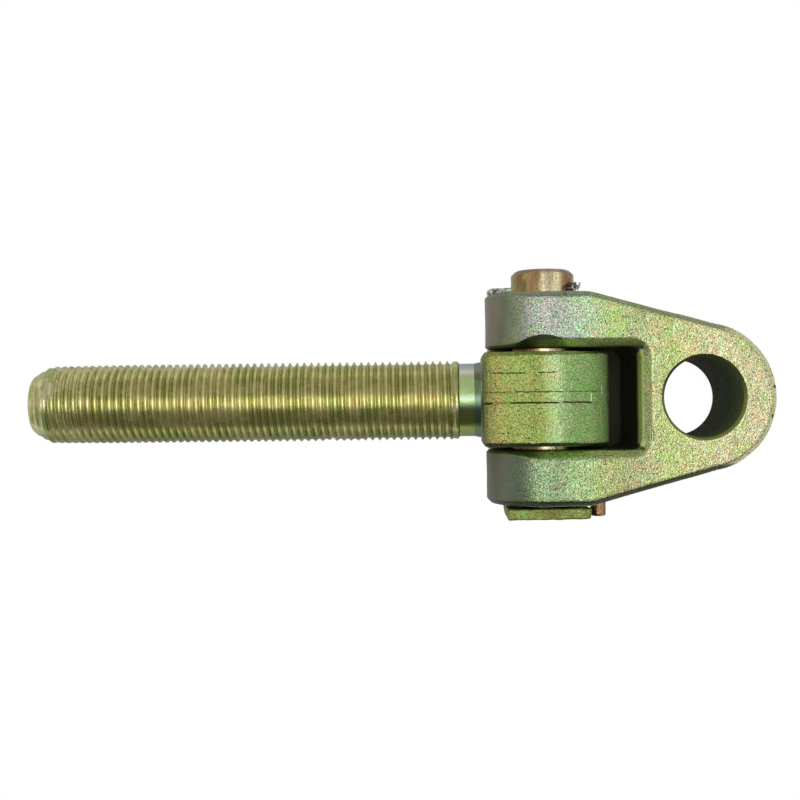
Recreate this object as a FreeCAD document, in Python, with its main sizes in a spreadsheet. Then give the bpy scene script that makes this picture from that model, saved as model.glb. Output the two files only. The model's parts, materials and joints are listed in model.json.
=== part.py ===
"""Clevis rod end with a pinned fork: a threaded eye, a fork with a cross-bored tongue, and the pins
that join them. Millimetres, +Z up. The part lies on its side as it comes to rest, with the hinge pin
level along Y, the threaded shank towards -X and the fork towards +X.
"""
import FreeCAD
import Part
import Sketcher
import math
import os

from FreeCAD import Placement, Rotation, Vector

# Driving dimensions: alias, value, meaning
DIMENSIONS = [
    ("pin_diameter", 26.0, "hinge pin"),
    ("pin_clearance", 0.08, "radial clearance of the pin in the eye and in the ears"),
    ("eye_radius", 26.0, "round of the eye about the pin"),
    ("eye_width", 38.0, "eye across its faces"),
    ("eye_shoulder", 26.2, "pin axis to the turned shoulder behind the eye"),
    ("eye_shoulder_height", 47.0, "height of the forging at that shoulder"),
    ("eye_shoulder_round", 3.0, "rounding of the shoulder's upper and lower edges"),
    ("eye_edge_bevel", 1.5, "bevel of the eye's rims"),
    ("eye_bore_chamfer", 0.8, "chamfer at the mouths of the eye's bore"),
    ("thread_diameter", 33.0, "thread over its crests"),
    ("shank_length", 214.0, "pin axis to the end of the shank"),
    ("thread_start", 35.0, "pin axis to the inner end of the thread"),
    ("thread_runout", 0.9, "length of the chamfer at the inner end of the thread"),
    ("shank_end_diameter", 24.0, "flat end face of the shank"),
    ("shank_end_chamfer", 4.5, "length of the lead-in at the shank's end"),
    ("neck_diameter", 30.3, "turned neck between the thread and the eye"),
    ("neck_end", 29.2, "pin axis to the end of the neck's parallel stretch"),
    ("flare_diameter", 31.2, "small flare in front of the shoulder"),
    ("flare_radius", 1.2, "hollow radius between the flare and the shoulder"),
    ("ear_radius", 24.0, "round nose of the ears about the pin"),
    ("fork_width", 86.0, "fork over both ears"),
    ("slot_width", 41.0, "slot between the ears"),
    ("slot_depth", 36.8, "pin axis to the floor of the slot"),
    ("slot_corner_radius", 4.5, "corners in the floor of the slot"),
    ("slot_edge_bevel", 3.4, "bevel of the slot's rims"),
    ("shoulder_start", 15.2, "pin axis to where the fork's sides start to taper"),
    ("shoulder_blend", 12.0, "radius of that bend"),
    ("ear_flat", 12.0, "pin axis to where the ears start to thin towards the tongue"),
    ("tongue_start", 42.0, "pin axis to where that thinning ends"),
    ("tongue_thickness", 44.0, "tongue across its flat faces"),
    ("tongue_radius", 30.0, "round end of the tongue about its bore"),
    ("bore_distance", 61.5, "pin axis to the axis of the tongue's bore"),
    ("bore_diameter", 32.5, "bore of the tongue"),
    ("bore_chamfer", 1.2, "chamfer at the mouths of that bore"),
    ("fork_edge_bevel", 2.0, "bevel of the fork's outer edges"),
    ("pin_bore_chamfer", 0.8, "chamfer at the mouths of the bores in the ears"),
    ("pin_end_stand", 10.2, "how far the pin stands out of the far ear"),
    ("pin_end_chamfer", 2.0, "chamfer at that end"),
    ("head_gap", 1.5, "gap between the pin's head and its ear"),
    ("head_thickness", 4.6, "forged head"),
    ("head_left", 16.1, "pin axis to the head's edge on the shank side"),
    ("head_height", 28.0, "head from its lower to its upper edge"),
    ("head_corner_radius", 1.0, "corners of the head"),
    ("head_edge_bevel", 0.6, "bevel of the head's outer rim"),
    ("dowel_diameter", 6.2, "locking dowel"),
    ("dowel_distance", 21.9, "pin axis to the dowel, along the fork"),
    ("dowel_height", 5.0, "dowel above the pin axis"),
    ("dowel_depth", 12.0, "how deep the dowel sits in the ear"),
    ("dowel_stand", 4.8, "how far the dowel stands out of the ear"),
    ("dowel_end_bevel", 0.7, "bevel of the dowel's ends"),
    ("dowel_gap", 1.0, "gap between the head's edge and the dowel"),
    ("split_diameter", 4.0, "split pin, both legs together"),
    ("split_clearance", 0.2, "radial clearance of the split pin in its cross hole"),
    ("split_seat", 0.25, "gap between the cross hole and the ear's face"),
    ("split_angle", 42.0, "slope of the split pin in degrees"),
    ("split_leg_gap", 0.1, "half of the gap between the two legs"),
    ("split_loop_radius", 3.4, "middle line of the split pin's eye"),
    ("split_loop_stand", 6.0, "pin surface to the start of the split pin's eye"),
    ("split_neck_radius", 3.0, "bends between the legs and the split pin's eye"),
    ("split_bend_radius", 2.2, "bends of the spread legs"),
    ("split_bend_angle", 38.0, "how far each leg is spread, in degrees"),
    ("split_leg_stand", 1.2, "pin surface to the start of the spread"),
    ("split_leg_length", 2.4, "straight end of each spread leg"),
]

TOLERANCE = 0.15
SAME = 1e-4
STRAIGHT = 1e-6
PARTS_FOLDER = "parts"


class RodEndModel:
    """The document, its sheet of dimensions and the sub-parts built from them."""

    def __init__(self):
        self.document = FreeCAD.newDocument("clevis_rod_end")
        self.sheet = self.document.addObject("Spreadsheet::Sheet", "dims")
        for row, (alias, value, meaning) in enumerate(DIMENSIONS, start=1):
            self.sheet.set(f"A{row}", meaning)
            self.sheet.set(f"B{row}", str(value))
            self.sheet.setAlias(f"B{row}", alias)
        self.document.recompute()
        self.bodies = []

    def size(self, alias):
        """The value of one dimension."""
        return float(self.sheet.get(alias))

    def body(self, label):
        """A new body, whose label names its file."""
        body = self.document.addObject("PartDesign::Body", label)
        body.Label = label
        self.bodies.append(body)
        return body

    def sketch(self, body, name, role):
        """A sketch on one of the body's own origin planes, such as XY_Plane."""
        plane = next(item for item in body.Origin.OriginFeatures if item.Role == role)
        sketch = body.newObject("Sketcher::SketchObject", name)
        sketch.AttachmentSupport = (plane, [""])
        sketch.MapMode = "FlatFace"
        return sketch

    def constrain(self, sketch, *arguments, expression=None):
        """Add a constraint, driven by an expression on the sheet where one is given."""
        index = sketch.addConstraint(Sketcher.Constraint(*arguments))
        if expression:
            sketch.setExpression(f"Constraints[{index}]", expression)
        return index

    def polygon(self, sketch, points):
        """Closed loop of straight lines through points; returns the index of its first line."""
        first = sketch.GeometryCount
        count = len(points)
        for number, start in enumerate(points):
            end = points[(number + 1) % count]
            sketch.addGeometry(Part.LineSegment(Vector(*start, 0), Vector(*end, 0)), False)
        for number in range(count):
            following = first + (number + 1) % count
            self.constrain(sketch, "Coincident", first + number, 2, following, 1)
        return first

    def fix_points(self, sketch, first, expressions):
        """Tie the start of each line of a loop to its two coordinates, given as expressions.

        A coordinate on an axis is held there with a point-on-axis constraint.
        """
        for number, (across, along) in enumerate(expressions):
            line = first + number
            point = sketch.getPoint(line, 1)
            for kind, axis, value, text in (("DistanceX", -2, point.x, across),
                                            ("DistanceY", -1, point.y, along)):
                if text == "0":
                    self.constrain(sketch, "PointOnObject", line, 1, axis)
                elif value > 0:
                    self.constrain(sketch, kind, -1, 1, line, 1, value, expression=text)
                else:
                    self.constrain(sketch, kind, line, 1, -1, 1, -value, expression=text)

    def circle(self, sketch, centre, radius, radius_text, centre_texts=None):
        """Circle driven by expressions; without centre texts it is about the origin."""
        index = sketch.addGeometry(Part.Circle(Vector(*centre, 0), Vector(0, 0, 1), radius), False)
        self.constrain(sketch, "Radius", index, radius, expression=radius_text)
        if centre_texts is None:
            self.constrain(sketch, "Coincident", index, 3, -1, 1)
            return index
        for kind, value, text, axis in (("DistanceX", centre[0], centre_texts[0], -2),
                                        ("DistanceY", centre[1], centre_texts[1], -1)):
            if text == "0":
                self.constrain(sketch, "PointOnObject", index, 3, axis)
            else:
                self.constrain(sketch, kind, -1, 1, index, 3, value, expression=text)
        return index

    def pad(self, body, name, sketch, length_text):
        """Symmetric pad."""
        pad = body.newObject("PartDesign::Pad", name)
        pad.Profile = sketch
        pad.Midplane = True
        pad.setExpression("Length", length_text)
        self.document.recompute()
        return pad

    def cut_through(self, body, name, sketch):
        """Pocket through the whole body, to both sides of its sketch."""
        before = body.Shape.Volume
        pocket = body.newObject("PartDesign::Pocket", name)
        pocket.Profile = sketch
        pocket.Type = "ThroughAll"
        pocket.Midplane = True
        self.document.recompute()
        if body.Shape.Volume >= before:
            raise RuntimeError(f"{name} removes nothing")
        return pocket

    def revolve(self, body, name, sketch, role):
        """Full turn about one of the body's own axes."""
        axis = next(item for item in body.Origin.OriginFeatures if item.Role == role)
        feature = body.newObject("PartDesign::Revolution", name)
        feature.Profile = sketch
        feature.ReferenceAxis = (axis, [""])
        feature.Angle = 360
        self.document.recompute()
        return feature

    def dress(self, body, name, kind, edges, size_text):
        """Fillet or chamfer on named edges of the body's latest feature."""
        if not edges:
            raise RuntimeError(f"{name} finds no edge")
        feature = body.newObject(f"PartDesign::{kind}", name)
        feature.Base = (feature.BaseFeature, edges)
        feature.setExpression("Radius" if kind == "Fillet" else "Size", size_text)
        self.document.recompute()
        return feature


def edge_names(shape, test):
    """Names of the edges whose middle point passes a test of that point and the edge."""
    names = []
    for number, edge in enumerate(shape.Edges, start=1):
        middle = edge.valueAt((edge.FirstParameter + edge.LastParameter) / 2)
        if test(middle, edge):
            names.append(f"Edge{number}")
    return names


def runs_along(edge, direction):
    """Whether an edge is straight and parallel to a direction."""
    if edge.Curve.TypeId != "Part::GeomLine":
        return False
    return edge.tangentAt(edge.FirstParameter).cross(direction).Length < STRAIGHT


def off_line(point, wire):
    """Distance from a point to a drawn line."""
    return Part.Vertex(point).distToShape(wire)[0]


def half_of(alias):
    """Expression for half of a dimension."""
    return f"dims.{alias} / 2"


def circle_radius(edge):
    """Radius of a round edge, or 0 for any other."""
    return edge.Curve.Radius if edge.Curve.TypeId == "Part::GeomCircle" else 0


def build_rod_end(model):
    """One forging: the eye, its turned shoulder and neck, and the shank at its thread's diameter."""
    size = model.size
    body = model.body("rod_end")

    # Eye, seen along the pin: round about the pin and drawn in towards the shoulder
    radius = size("eye_radius")
    back = size("eye_shoulder")
    rise = size("eye_shoulder_height") / 2
    reach = math.hypot(back, rise)
    tangent = math.pi - math.atan2(rise, back) - math.acos(radius / reach)
    sketch = model.sketch(body, "eye_outline", "XZ_Plane")
    top = Vector(radius * math.cos(tangent), radius * math.sin(tangent), 0)
    bottom = Vector(top.x, -top.y, 0)
    round_part = Part.ArcOfCircle(Part.Circle(Vector(), Vector(0, 0, 1), radius), -tangent, tangent)
    sketch.addGeometry(round_part, False)
    sketch.addGeometry(Part.LineSegment(top, Vector(-back, rise, 0)), False)
    sketch.addGeometry(Part.LineSegment(Vector(-back, rise, 0), Vector(-back, -rise, 0)), False)
    sketch.addGeometry(Part.LineSegment(Vector(-back, -rise, 0), bottom), False)
    model.constrain(sketch, "Coincident", 0, 3, -1, 1)
    model.constrain(sketch, "Tangent", 0, 2, 1, 1)
    model.constrain(sketch, "Coincident", 1, 2, 2, 1)
    model.constrain(sketch, "Coincident", 2, 2, 3, 1)
    model.constrain(sketch, "Tangent", 3, 2, 0, 1)
    model.constrain(sketch, "Symmetric", 2, 1, 2, 2, -1)
    model.constrain(sketch, "Radius", 0, radius, expression="dims.eye_radius")
    model.constrain(sketch, "DistanceX", 2, 1, -1, 1, back, expression="dims.eye_shoulder")
    model.constrain(sketch, "DistanceY", 2, 2, 2, 1, 2 * rise, expression="dims.eye_shoulder_height")
    model.pad(body, "eye", sketch, "dims.eye_width")

    across = Vector(0, 1, 0)
    edges = edge_names(body.Shape, lambda point, edge: runs_along(edge, across)
                       and abs(point.x + back) < TOLERANCE)
    model.dress(body, "shoulder_edges", "Fillet", edges, "dims.eye_shoulder_round")
    face = size("eye_width") / 2
    edges = edge_names(body.Shape, lambda point, edge: abs(abs(point.y) - face) < SAME)
    model.dress(body, "eye_rims", "Chamfer", edges, "dims.eye_edge_bevel")

    # Shank, turned about X
    flare_reach = size("flare_diameter") / 2 + size("flare_radius")
    points = [
        (-size("eye_radius") / 2, 0),
        (-size("shank_length"), 0),
        (-size("shank_length"), size("shank_end_diameter") / 2),
        (-size("shank_length") + size("shank_end_chamfer"), size("thread_diameter") / 2),
        (-size("thread_start") - size("thread_runout"), size("thread_diameter") / 2),
        (-size("thread_start"), size("neck_diameter") / 2),
        (-size("neck_end"), size("neck_diameter") / 2),
        (-back - size("flare_radius"), size("flare_diameter") / 2),
        (-back, flare_reach),
        (-size("eye_radius") / 2, flare_reach),
    ]
    texts = [
        ("dims.eye_radius / 2", "0"),
        ("dims.shank_length", "0"),
        ("dims.shank_length", half_of("shank_end_diameter")),
        ("dims.shank_length - dims.shank_end_chamfer", half_of("thread_diameter")),
        ("dims.thread_start + dims.thread_runout", half_of("thread_diameter")),
        ("dims.thread_start", half_of("neck_diameter")),
        ("dims.neck_end", half_of("neck_diameter")),
        ("dims.eye_shoulder + dims.flare_radius", half_of("flare_diameter")),
        ("dims.eye_shoulder", half_of("flare_diameter") + " + dims.flare_radius"),
        ("dims.eye_radius / 2", half_of("flare_diameter") + " + dims.flare_radius"),
    ]
    sketch = model.sketch(body, "shank_outline", "XY_Plane")
    first = model.polygon(sketch, points)
    model.fix_points(sketch, first, texts)
    model.revolve(body, "shank", sketch, "X_Axis")

    # Bore for the hinge pin, eased at its mouths
    sketch = model.sketch(body, "eye_bore_outline", "XZ_Plane")
    bore_radius = size("pin_diameter") / 2 + size("pin_clearance")
    model.circle(sketch, (0, 0), bore_radius, "dims.pin_diameter / 2 + dims.pin_clearance")
    model.cut_through(body, "eye_bore", sketch)
    edges = edge_names(body.Shape, lambda point, edge: abs(circle_radius(edge) - bore_radius) < SAME
                       and abs(abs(point.y) - face) < SAME)
    model.dress(body, "eye_bore_mouths", "Chamfer", edges, "dims.eye_bore_chamfer")
    return body


def build_fork(model):
    """One forging: two ears with a round nose, and the cross-bored tongue."""
    size = model.size
    body = model.body("fork")

    # Side view: nose about the pin, then thinning to the tongue
    nose = size("ear_radius")
    half_tongue = size("tongue_thickness") / 2
    flat = size("ear_flat")
    start = size("tongue_start")
    tip = size("bore_distance") + size("tongue_radius")
    side = model.sketch(body, "side_outline", "XZ_Plane")
    drop = nose - half_tongue
    sweep = 2 * math.atan2(drop, start - flat)
    bend_radius = (start - flat) / (2 * math.sin(sweep))
    quarter = math.pi / 2
    upward = Vector(0, 0, 1)

    def arc(along, height, radius, begin, end):
        circle = Part.Circle(Vector(along, height, 0), upward, radius)
        side.addGeometry(Part.ArcOfCircle(circle, begin, end), False)

    def line(begin, end):
        side.addGeometry(Part.LineSegment(Vector(*begin, 0), Vector(*end, 0)), False)

    arc(0, 0, nose, quarter, 3 * quarter)
    line((0, -nose), (flat, -nose))
    arc(flat, -nose + bend_radius, bend_radius, -quarter, -quarter + sweep)
    arc(start, -half_tongue - bend_radius, bend_radius, quarter, quarter + sweep)
    line((start, -half_tongue), (tip, -half_tongue))
    line((tip, -half_tongue), (tip, half_tongue))
    line((tip, half_tongue), (start, half_tongue))
    arc(start, half_tongue + bend_radius, bend_radius, -quarter - sweep, -quarter)
    arc(flat, nose - bend_radius, bend_radius, quarter - sweep, quarter)
    line((flat, nose), (0, nose))
    for joint in ((0, 2, 1, 1), (1, 2, 2, 1), (2, 2, 3, 2), (3, 1, 4, 1),
                  (6, 2, 7, 2), (7, 1, 8, 1), (8, 2, 9, 1), (9, 2, 0, 1)):
        model.constrain(side, "Tangent", *joint)
    model.constrain(side, "Coincident", 4, 2, 5, 1)
    model.constrain(side, "Coincident", 5, 2, 6, 1)
    for number in (1, 4, 6, 9):
        model.constrain(side, "Horizontal", number)
    model.constrain(side, "Equal", 2, 3)
    model.constrain(side, "Equal", 7, 8)
    model.constrain(side, "Coincident", 0, 3, -1, 1)
    model.constrain(side, "Symmetric", 5, 1, 5, 2, -1)
    model.constrain(side, "Radius", 0, nose, expression="dims.ear_radius")
    model.constrain(side, "DistanceY", 5, 1, 5, 2, 2 * half_tongue, expression="dims.tongue_thickness")
    for number, end, along, text in ((5, 1, tip, "dims.bore_distance + dims.tongue_radius"),
                                     (1, 2, flat, "dims.ear_flat"), (9, 1, flat, "dims.ear_flat"),
                                     (4, 1, start, "dims.tongue_start"),
                                     (6, 2, start, "dims.tongue_start")):
        model.constrain(side, "DistanceX", -1, 1, number, end, along, expression=text)
    model.pad(body, "forging", side, "dims.fork_width")
    across = Vector(0, 1, 0)

    # Plan view: parallel ears, then straight tapers to the round end of the tongue
    half_width = size("fork_width") / 2
    bend = size("shoulder_start")
    end_radius = size("tongue_radius")
    distance = size("bore_distance")
    run = distance - bend
    reach = math.hypot(run, half_width)
    touch = math.pi - math.atan2(half_width, run) - math.acos(end_radius / reach)
    top = Vector(distance + end_radius * math.cos(touch), end_radius * math.sin(touch), 0)
    plan = model.sketch(body, "plan_outline", "XY_Plane")
    end_circle = Part.Circle(Vector(distance, 0, 0), Vector(0, 0, 1), end_radius)
    plan.addGeometry(Part.ArcOfCircle(end_circle, -touch, touch), False)
    margin = half_width
    lines = [(top, (bend, half_width)), ((bend, half_width), (-margin, half_width)),
             ((-margin, half_width), (-margin, -half_width)), ((-margin, -half_width), (bend, -half_width)),
             ((bend, -half_width), (top.x, -top.y))]
    for begin, end in lines:
        plan.addGeometry(Part.LineSegment(Vector(*begin[:2], 0), Vector(*end[:2], 0)), False)
    model.constrain(plan, "Tangent", 0, 2, 1, 1)
    for line in range(1, 5):
        model.constrain(plan, "Coincident", line, 2, line + 1, 1)
    model.constrain(plan, "Tangent", 5, 2, 0, 1)
    model.constrain(plan, "PointOnObject", 0, 3, -1)
    model.constrain(plan, "Horizontal", 2)
    model.constrain(plan, "Symmetric", 3, 1, 3, 2, -1)
    model.constrain(plan, "Symmetric", 2, 1, 4, 2, -1)
    model.constrain(plan, "Radius", 0, end_radius, expression="dims.tongue_radius")
    model.constrain(plan, "DistanceX", -1, 1, 0, 3, distance, expression="dims.bore_distance")
    model.constrain(plan, "DistanceX", -1, 1, 2, 1, bend, expression="dims.shoulder_start")
    model.constrain(plan, "DistanceY", 3, 2, 3, 1, 2 * half_width, expression="dims.fork_width")
    model.constrain(plan, "DistanceX", 3, 1, -1, 1, margin, expression="dims.fork_width / 2")
    outside = 2 * tip
    frame = model.polygon(plan, [(-outside, -outside), (outside, -outside),
                                 (outside, outside), (-outside, outside)])
    far = "2 * (dims.bore_distance + dims.tongue_radius)"
    model.fix_points(plan, frame, [(far, far)] * 4)
    model.cut_through(body, "plan_trim", plan)

    upright = Vector(0, 0, 1)
    edges = edge_names(body.Shape, lambda point, edge: runs_along(edge, upright)
                       and abs(point.x - bend) < TOLERANCE)
    model.dress(body, "side_bends", "Fillet", edges, "dims.shoulder_blend")

    # Slot between the ears
    half_slot = size("slot_width") / 2
    depth = size("slot_depth")
    slot = model.sketch(body, "slot_outline", "XY_Plane")
    mouth = model.polygon(slot, [(-margin, -half_slot), (depth, -half_slot),
                                 (depth, half_slot), (-margin, half_slot)])
    model.fix_points(slot, mouth, [("dims.fork_width / 2", "dims.slot_width / 2"),
                                   ("dims.slot_depth", "dims.slot_width / 2"),
                                   ("dims.slot_depth", "dims.slot_width / 2"),
                                   ("dims.fork_width / 2", "dims.slot_width / 2")])
    model.cut_through(body, "slot", slot)
    edges = edge_names(body.Shape, lambda point, edge: runs_along(edge, upright)
                       and abs(point.x - depth) < TOLERANCE)
    model.dress(body, "slot_corners", "Fillet", edges, "dims.slot_corner_radius")

    # Eased rims: every edge where the side view meets the outer plan or the slot
    def on_side(point):
        return off_line(Vector(point.x, 0, point.z), side.Shape) < TOLERANCE

    def on_plan(point):
        return off_line(Vector(point.x, point.y, 0), plan.Shape) < TOLERANCE

    def in_slot(point):
        return abs(point.y) < half_slot + TOLERANCE and point.x < depth + TOLERANCE

    edges = edge_names(body.Shape, lambda point, edge: on_side(point) and on_plan(point)
                       and not in_slot(point) and not runs_along(edge, across))
    model.dress(body, "outer_edges", "Chamfer", edges, "dims.fork_edge_bevel")
    edges = edge_names(body.Shape, lambda point, edge: on_side(point) and in_slot(point))
    model.dress(body, "slot_edges", "Chamfer", edges, "dims.slot_edge_bevel")

    # Bores of the pin and the tongue, eased at their mouths
    sketch = model.sketch(body, "pin_bore_outline", "XZ_Plane")
    pin_bore = size("pin_diameter") / 2 + size("pin_clearance")
    model.circle(sketch, (0, 0), pin_bore, "dims.pin_diameter / 2 + dims.pin_clearance")
    model.cut_through(body, "pin_bores", sketch)
    edges = edge_names(body.Shape, lambda point, edge: abs(circle_radius(edge) - pin_bore) < SAME)
    model.dress(body, "pin_bore_mouths", "Chamfer", edges, "dims.pin_bore_chamfer")
    sketch = model.sketch(body, "tongue_bore_outline", "XY_Plane")
    tongue_bore = size("bore_diameter") / 2
    model.circle(sketch, (distance, 0), tongue_bore, "dims.bore_diameter / 2", ("dims.bore_distance", "0"))
    model.cut_through(body, "tongue_bore", sketch)
    edges = edge_names(body.Shape, lambda point, edge: abs(circle_radius(edge) - tongue_bore) < SAME)
    model.dress(body, "tongue_bore_mouths", "Chamfer", edges, "dims.bore_chamfer")

    # Blind hole for the locking dowel, in the ear on the head's side
    sketch = model.sketch(body, "dowel_hole_outline", "XZ_Plane")
    model.circle(sketch, (size("dowel_distance"), size("dowel_height")), size("dowel_diameter") / 2,
                 "dims.dowel_diameter / 2", ("dims.dowel_distance", "dims.dowel_height"))
    sketch.setExpression("AttachmentOffset.Base.z", "dims.fork_width / 2")
    before = body.Shape.Volume
    hole = body.newObject("PartDesign::Pocket", "dowel_hole")
    hole.Profile = sketch
    hole.setExpression("Length", "dims.dowel_depth")
    model.document.recompute()
    if body.Shape.Volume >= before:
        raise RuntimeError("dowel_hole removes nothing")
    return body


def build_hinge_pin(model):
    """The pin, one piece with its flat forged head, and the cross hole for the split pin."""
    size = model.size
    body = model.body("hinge_pin")
    radius = size("pin_diameter") / 2
    end = size("fork_width") / 2 + size("pin_end_stand")
    head_face = size("fork_width") / 2 + size("head_gap")
    chamfer = size("pin_end_chamfer")
    root = head_face + size("head_thickness") / 2
    sketch = model.sketch(body, "pin_outline", "XY_Plane")
    first = model.polygon(sketch, [(0, -root), (radius, -root), (radius, end - chamfer),
                                   (radius - chamfer, end), (0, end)])
    end_text = "dims.fork_width / 2 + dims.pin_end_stand"
    root_text = "dims.fork_width / 2 + dims.head_gap + dims.head_thickness / 2"
    model.fix_points(sketch, first, [("0", root_text), ("dims.pin_diameter / 2", root_text),
                                     ("dims.pin_diameter / 2", end_text + " - dims.pin_end_chamfer"),
                                     ("dims.pin_diameter / 2 - dims.pin_end_chamfer", end_text),
                                     ("0", end_text)])
    model.revolve(body, "shaft", sketch, "Y_Axis")

    # Head: a rough flat plate, stopped against turning by the dowel beside it
    left = size("head_left")
    right = size("dowel_distance") - size("dowel_diameter") / 2 - size("dowel_gap")
    high = size("head_height") / 2
    sketch = model.sketch(body, "head_outline", "XZ_Plane")
    first = model.polygon(sketch, [(-left, -high), (right, -high), (right, high), (-left, high)])
    right_text = "dims.dowel_distance - dims.dowel_diameter / 2 - dims.dowel_gap"
    model.fix_points(sketch, first, [("dims.head_left", "dims.head_height / 2"),
                                     (right_text, "dims.head_height / 2"),
                                     (right_text, "dims.head_height / 2"),
                                     ("dims.head_left", "dims.head_height / 2")])
    sketch.setExpression("AttachmentOffset.Base.z", "dims.fork_width / 2 + dims.head_gap")
    head = body.newObject("PartDesign::Pad", "head")
    head.Profile = sketch
    head.setExpression("Length", "dims.head_thickness")
    model.document.recompute()
    across = Vector(0, 1, 0)
    edges = edge_names(body.Shape, lambda point, edge: runs_along(edge, across) and point.y < -head_face)
    model.dress(body, "head_corners", "Fillet", edges, "dims.head_corner_radius")
    outer_face = head_face + size("head_thickness")
    edges = edge_names(body.Shape, lambda point, edge: abs(point.y + outer_face) < SAME)
    model.dress(body, "head_rim", "Chamfer", edges, "dims.head_edge_bevel")

    # Cross hole, on a slope so that the split pin clears the ear
    sketch = model.sketch(body, "cross_hole_outline", "YZ_Plane")
    hole_radius = size("split_diameter") / 2 + size("split_clearance")
    centre = size("fork_width") / 2 + size("split_seat") + hole_radius
    model.circle(sketch, (centre, 0), hole_radius, "dims.split_diameter / 2 + dims.split_clearance",
                 ("dims.fork_width / 2 + dims.split_seat + dims.split_diameter / 2 + dims.split_clearance",
                  "0"))
    sketch.AttachmentOffset = Placement(Vector(), Rotation(Vector(1, 0, 0), size("split_angle")))
    sketch.setExpression("AttachmentOffset.Rotation.Angle", "-dims.split_angle * 1 deg")
    model.cut_through(body, "cross_hole", sketch)
    return body


def split_pin_path(model):
    """Middle line of the split pin's wire in its own plane, as edges from one leg's end to the other.

    The pin's hole runs along the first axis; the eye lies at its negative end.
    """
    size = model.size
    pin_radius = size("pin_diameter") / 2
    offset = size("split_leg_gap") + size("split_diameter") / 4
    loop = size("split_loop_radius")
    neck = size("split_neck_radius")
    bend = size("split_bend_radius")
    angle = math.radians(size("split_bend_angle"))

    # Eye, joined to each leg by a reversed bend
    neck_start = -pin_radius - size("split_loop_stand")
    rise = math.acos((offset + neck) / (loop + neck))
    loop_centre = neck_start - (loop + neck) * math.sin(rise)
    joint_along = loop_centre + loop * math.sin(rise)
    joint_across = loop * math.cos(rise)
    neck_middle = (neck_start - neck * math.sin(rise / 2), offset + neck * (1 - math.cos(rise / 2)))

    # Spread legs
    leg_start = pin_radius + size("split_leg_stand")
    bend_end = (leg_start + bend * math.sin(angle), offset + bend * (1 - math.cos(angle)))
    bend_middle = (leg_start + bend * math.sin(angle / 2), offset + bend * (1 - math.cos(angle / 2)))
    length = size("split_leg_length")
    leg_end = (bend_end[0] + length * math.cos(angle), bend_end[1] + length * math.sin(angle))

    upper = [leg_end, bend_end, bend_middle, (leg_start, offset), (neck_start, offset), neck_middle,
             (joint_along, joint_across)]
    lower = [(along, -across) for along, across in reversed(upper)]

    def spot(pair):
        return Vector(pair[0], 0, pair[1])

    upper = [spot(pair) for pair in upper]
    lower = [spot(pair) for pair in lower]
    eye_back = Vector(loop_centre - loop, 0, 0)
    edges = [Part.LineSegment(upper[0], upper[1]).toShape(),
             Part.Arc(upper[1], upper[2], upper[3]).toShape(),
             Part.LineSegment(upper[3], upper[4]).toShape(),
             Part.Arc(upper[4], upper[5], upper[6]).toShape(),
             Part.Arc(upper[6], eye_back, lower[0]).toShape(),
             Part.Arc(lower[0], lower[1], lower[2]).toShape(),
             Part.LineSegment(lower[2], lower[3]).toShape(),
             Part.Arc(lower[3], lower[4], lower[5]).toShape(),
             Part.LineSegment(lower[5], lower[6]).toShape()]
    return edges, upper[0], upper[1]


def build_split_pin(model):
    """Half-round wire folded into an eye and two legs that are spread behind the hinge pin."""
    size = model.size
    edges, tip, following = split_pin_path(model)
    radius = size("split_diameter") / 2
    along = (following - tip).normalize()
    flat_side = along.cross(Vector(0, 1, 0))
    if flat_side.z > 0:
        flat_side = -flat_side
    middle = tip + flat_side * (radius / 2)
    across = Vector(0, 1, 0)
    round_side = Part.Arc(middle + across * radius, middle - flat_side * radius,
                          middle - across * radius).toShape()
    flat = Part.LineSegment(middle - across * radius, middle + across * radius).toShape()
    profile = Part.Wire([round_side, flat])
    path = Part.Wire(edges)
    shape = path.makePipeShell([profile], True, False)
    part = model.document.addObject("Part::Feature", "split_pin")
    part.Label = "split_pin"
    part.Shape = shape
    model.bodies.append(part)
    return part


def build_locking_dowel(model):
    """Short round dowel pressed into the ear beside the pin's head."""
    size = model.size
    body = model.body("locking_dowel")
    radius = size("dowel_diameter") / 2
    inner = size("fork_width") / 2 - size("dowel_depth")
    outer = size("fork_width") / 2 + size("dowel_stand")
    sketch = model.sketch(body, "dowel_outline", "XY_Plane")
    first = model.polygon(sketch, [(0, -outer), (radius, -outer), (radius, -inner), (0, -inner)])
    model.fix_points(sketch, first, [("0", "dims.fork_width / 2 + dims.dowel_stand"),
                                     ("dims.dowel_diameter / 2", "dims.fork_width / 2 + dims.dowel_stand"),
                                     ("dims.dowel_diameter / 2", "dims.fork_width / 2 - dims.dowel_depth"),
                                     ("0", "dims.fork_width / 2 - dims.dowel_depth")])
    model.revolve(body, "dowel", sketch, "Y_Axis")
    edges = edge_names(body.Shape, lambda point, edge: circle_radius(edge) > 0)
    model.dress(body, "dowel_ends", "Chamfer", edges, "dims.dowel_end_bevel")
    return body


def lean_on_floor(height, length, drop):
    """Slope in degrees at which a point that is length out and drop below an axis meets the floor."""
    return math.degrees(math.asin(height / math.hypot(length, drop)) - math.atan2(drop, length))


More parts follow.
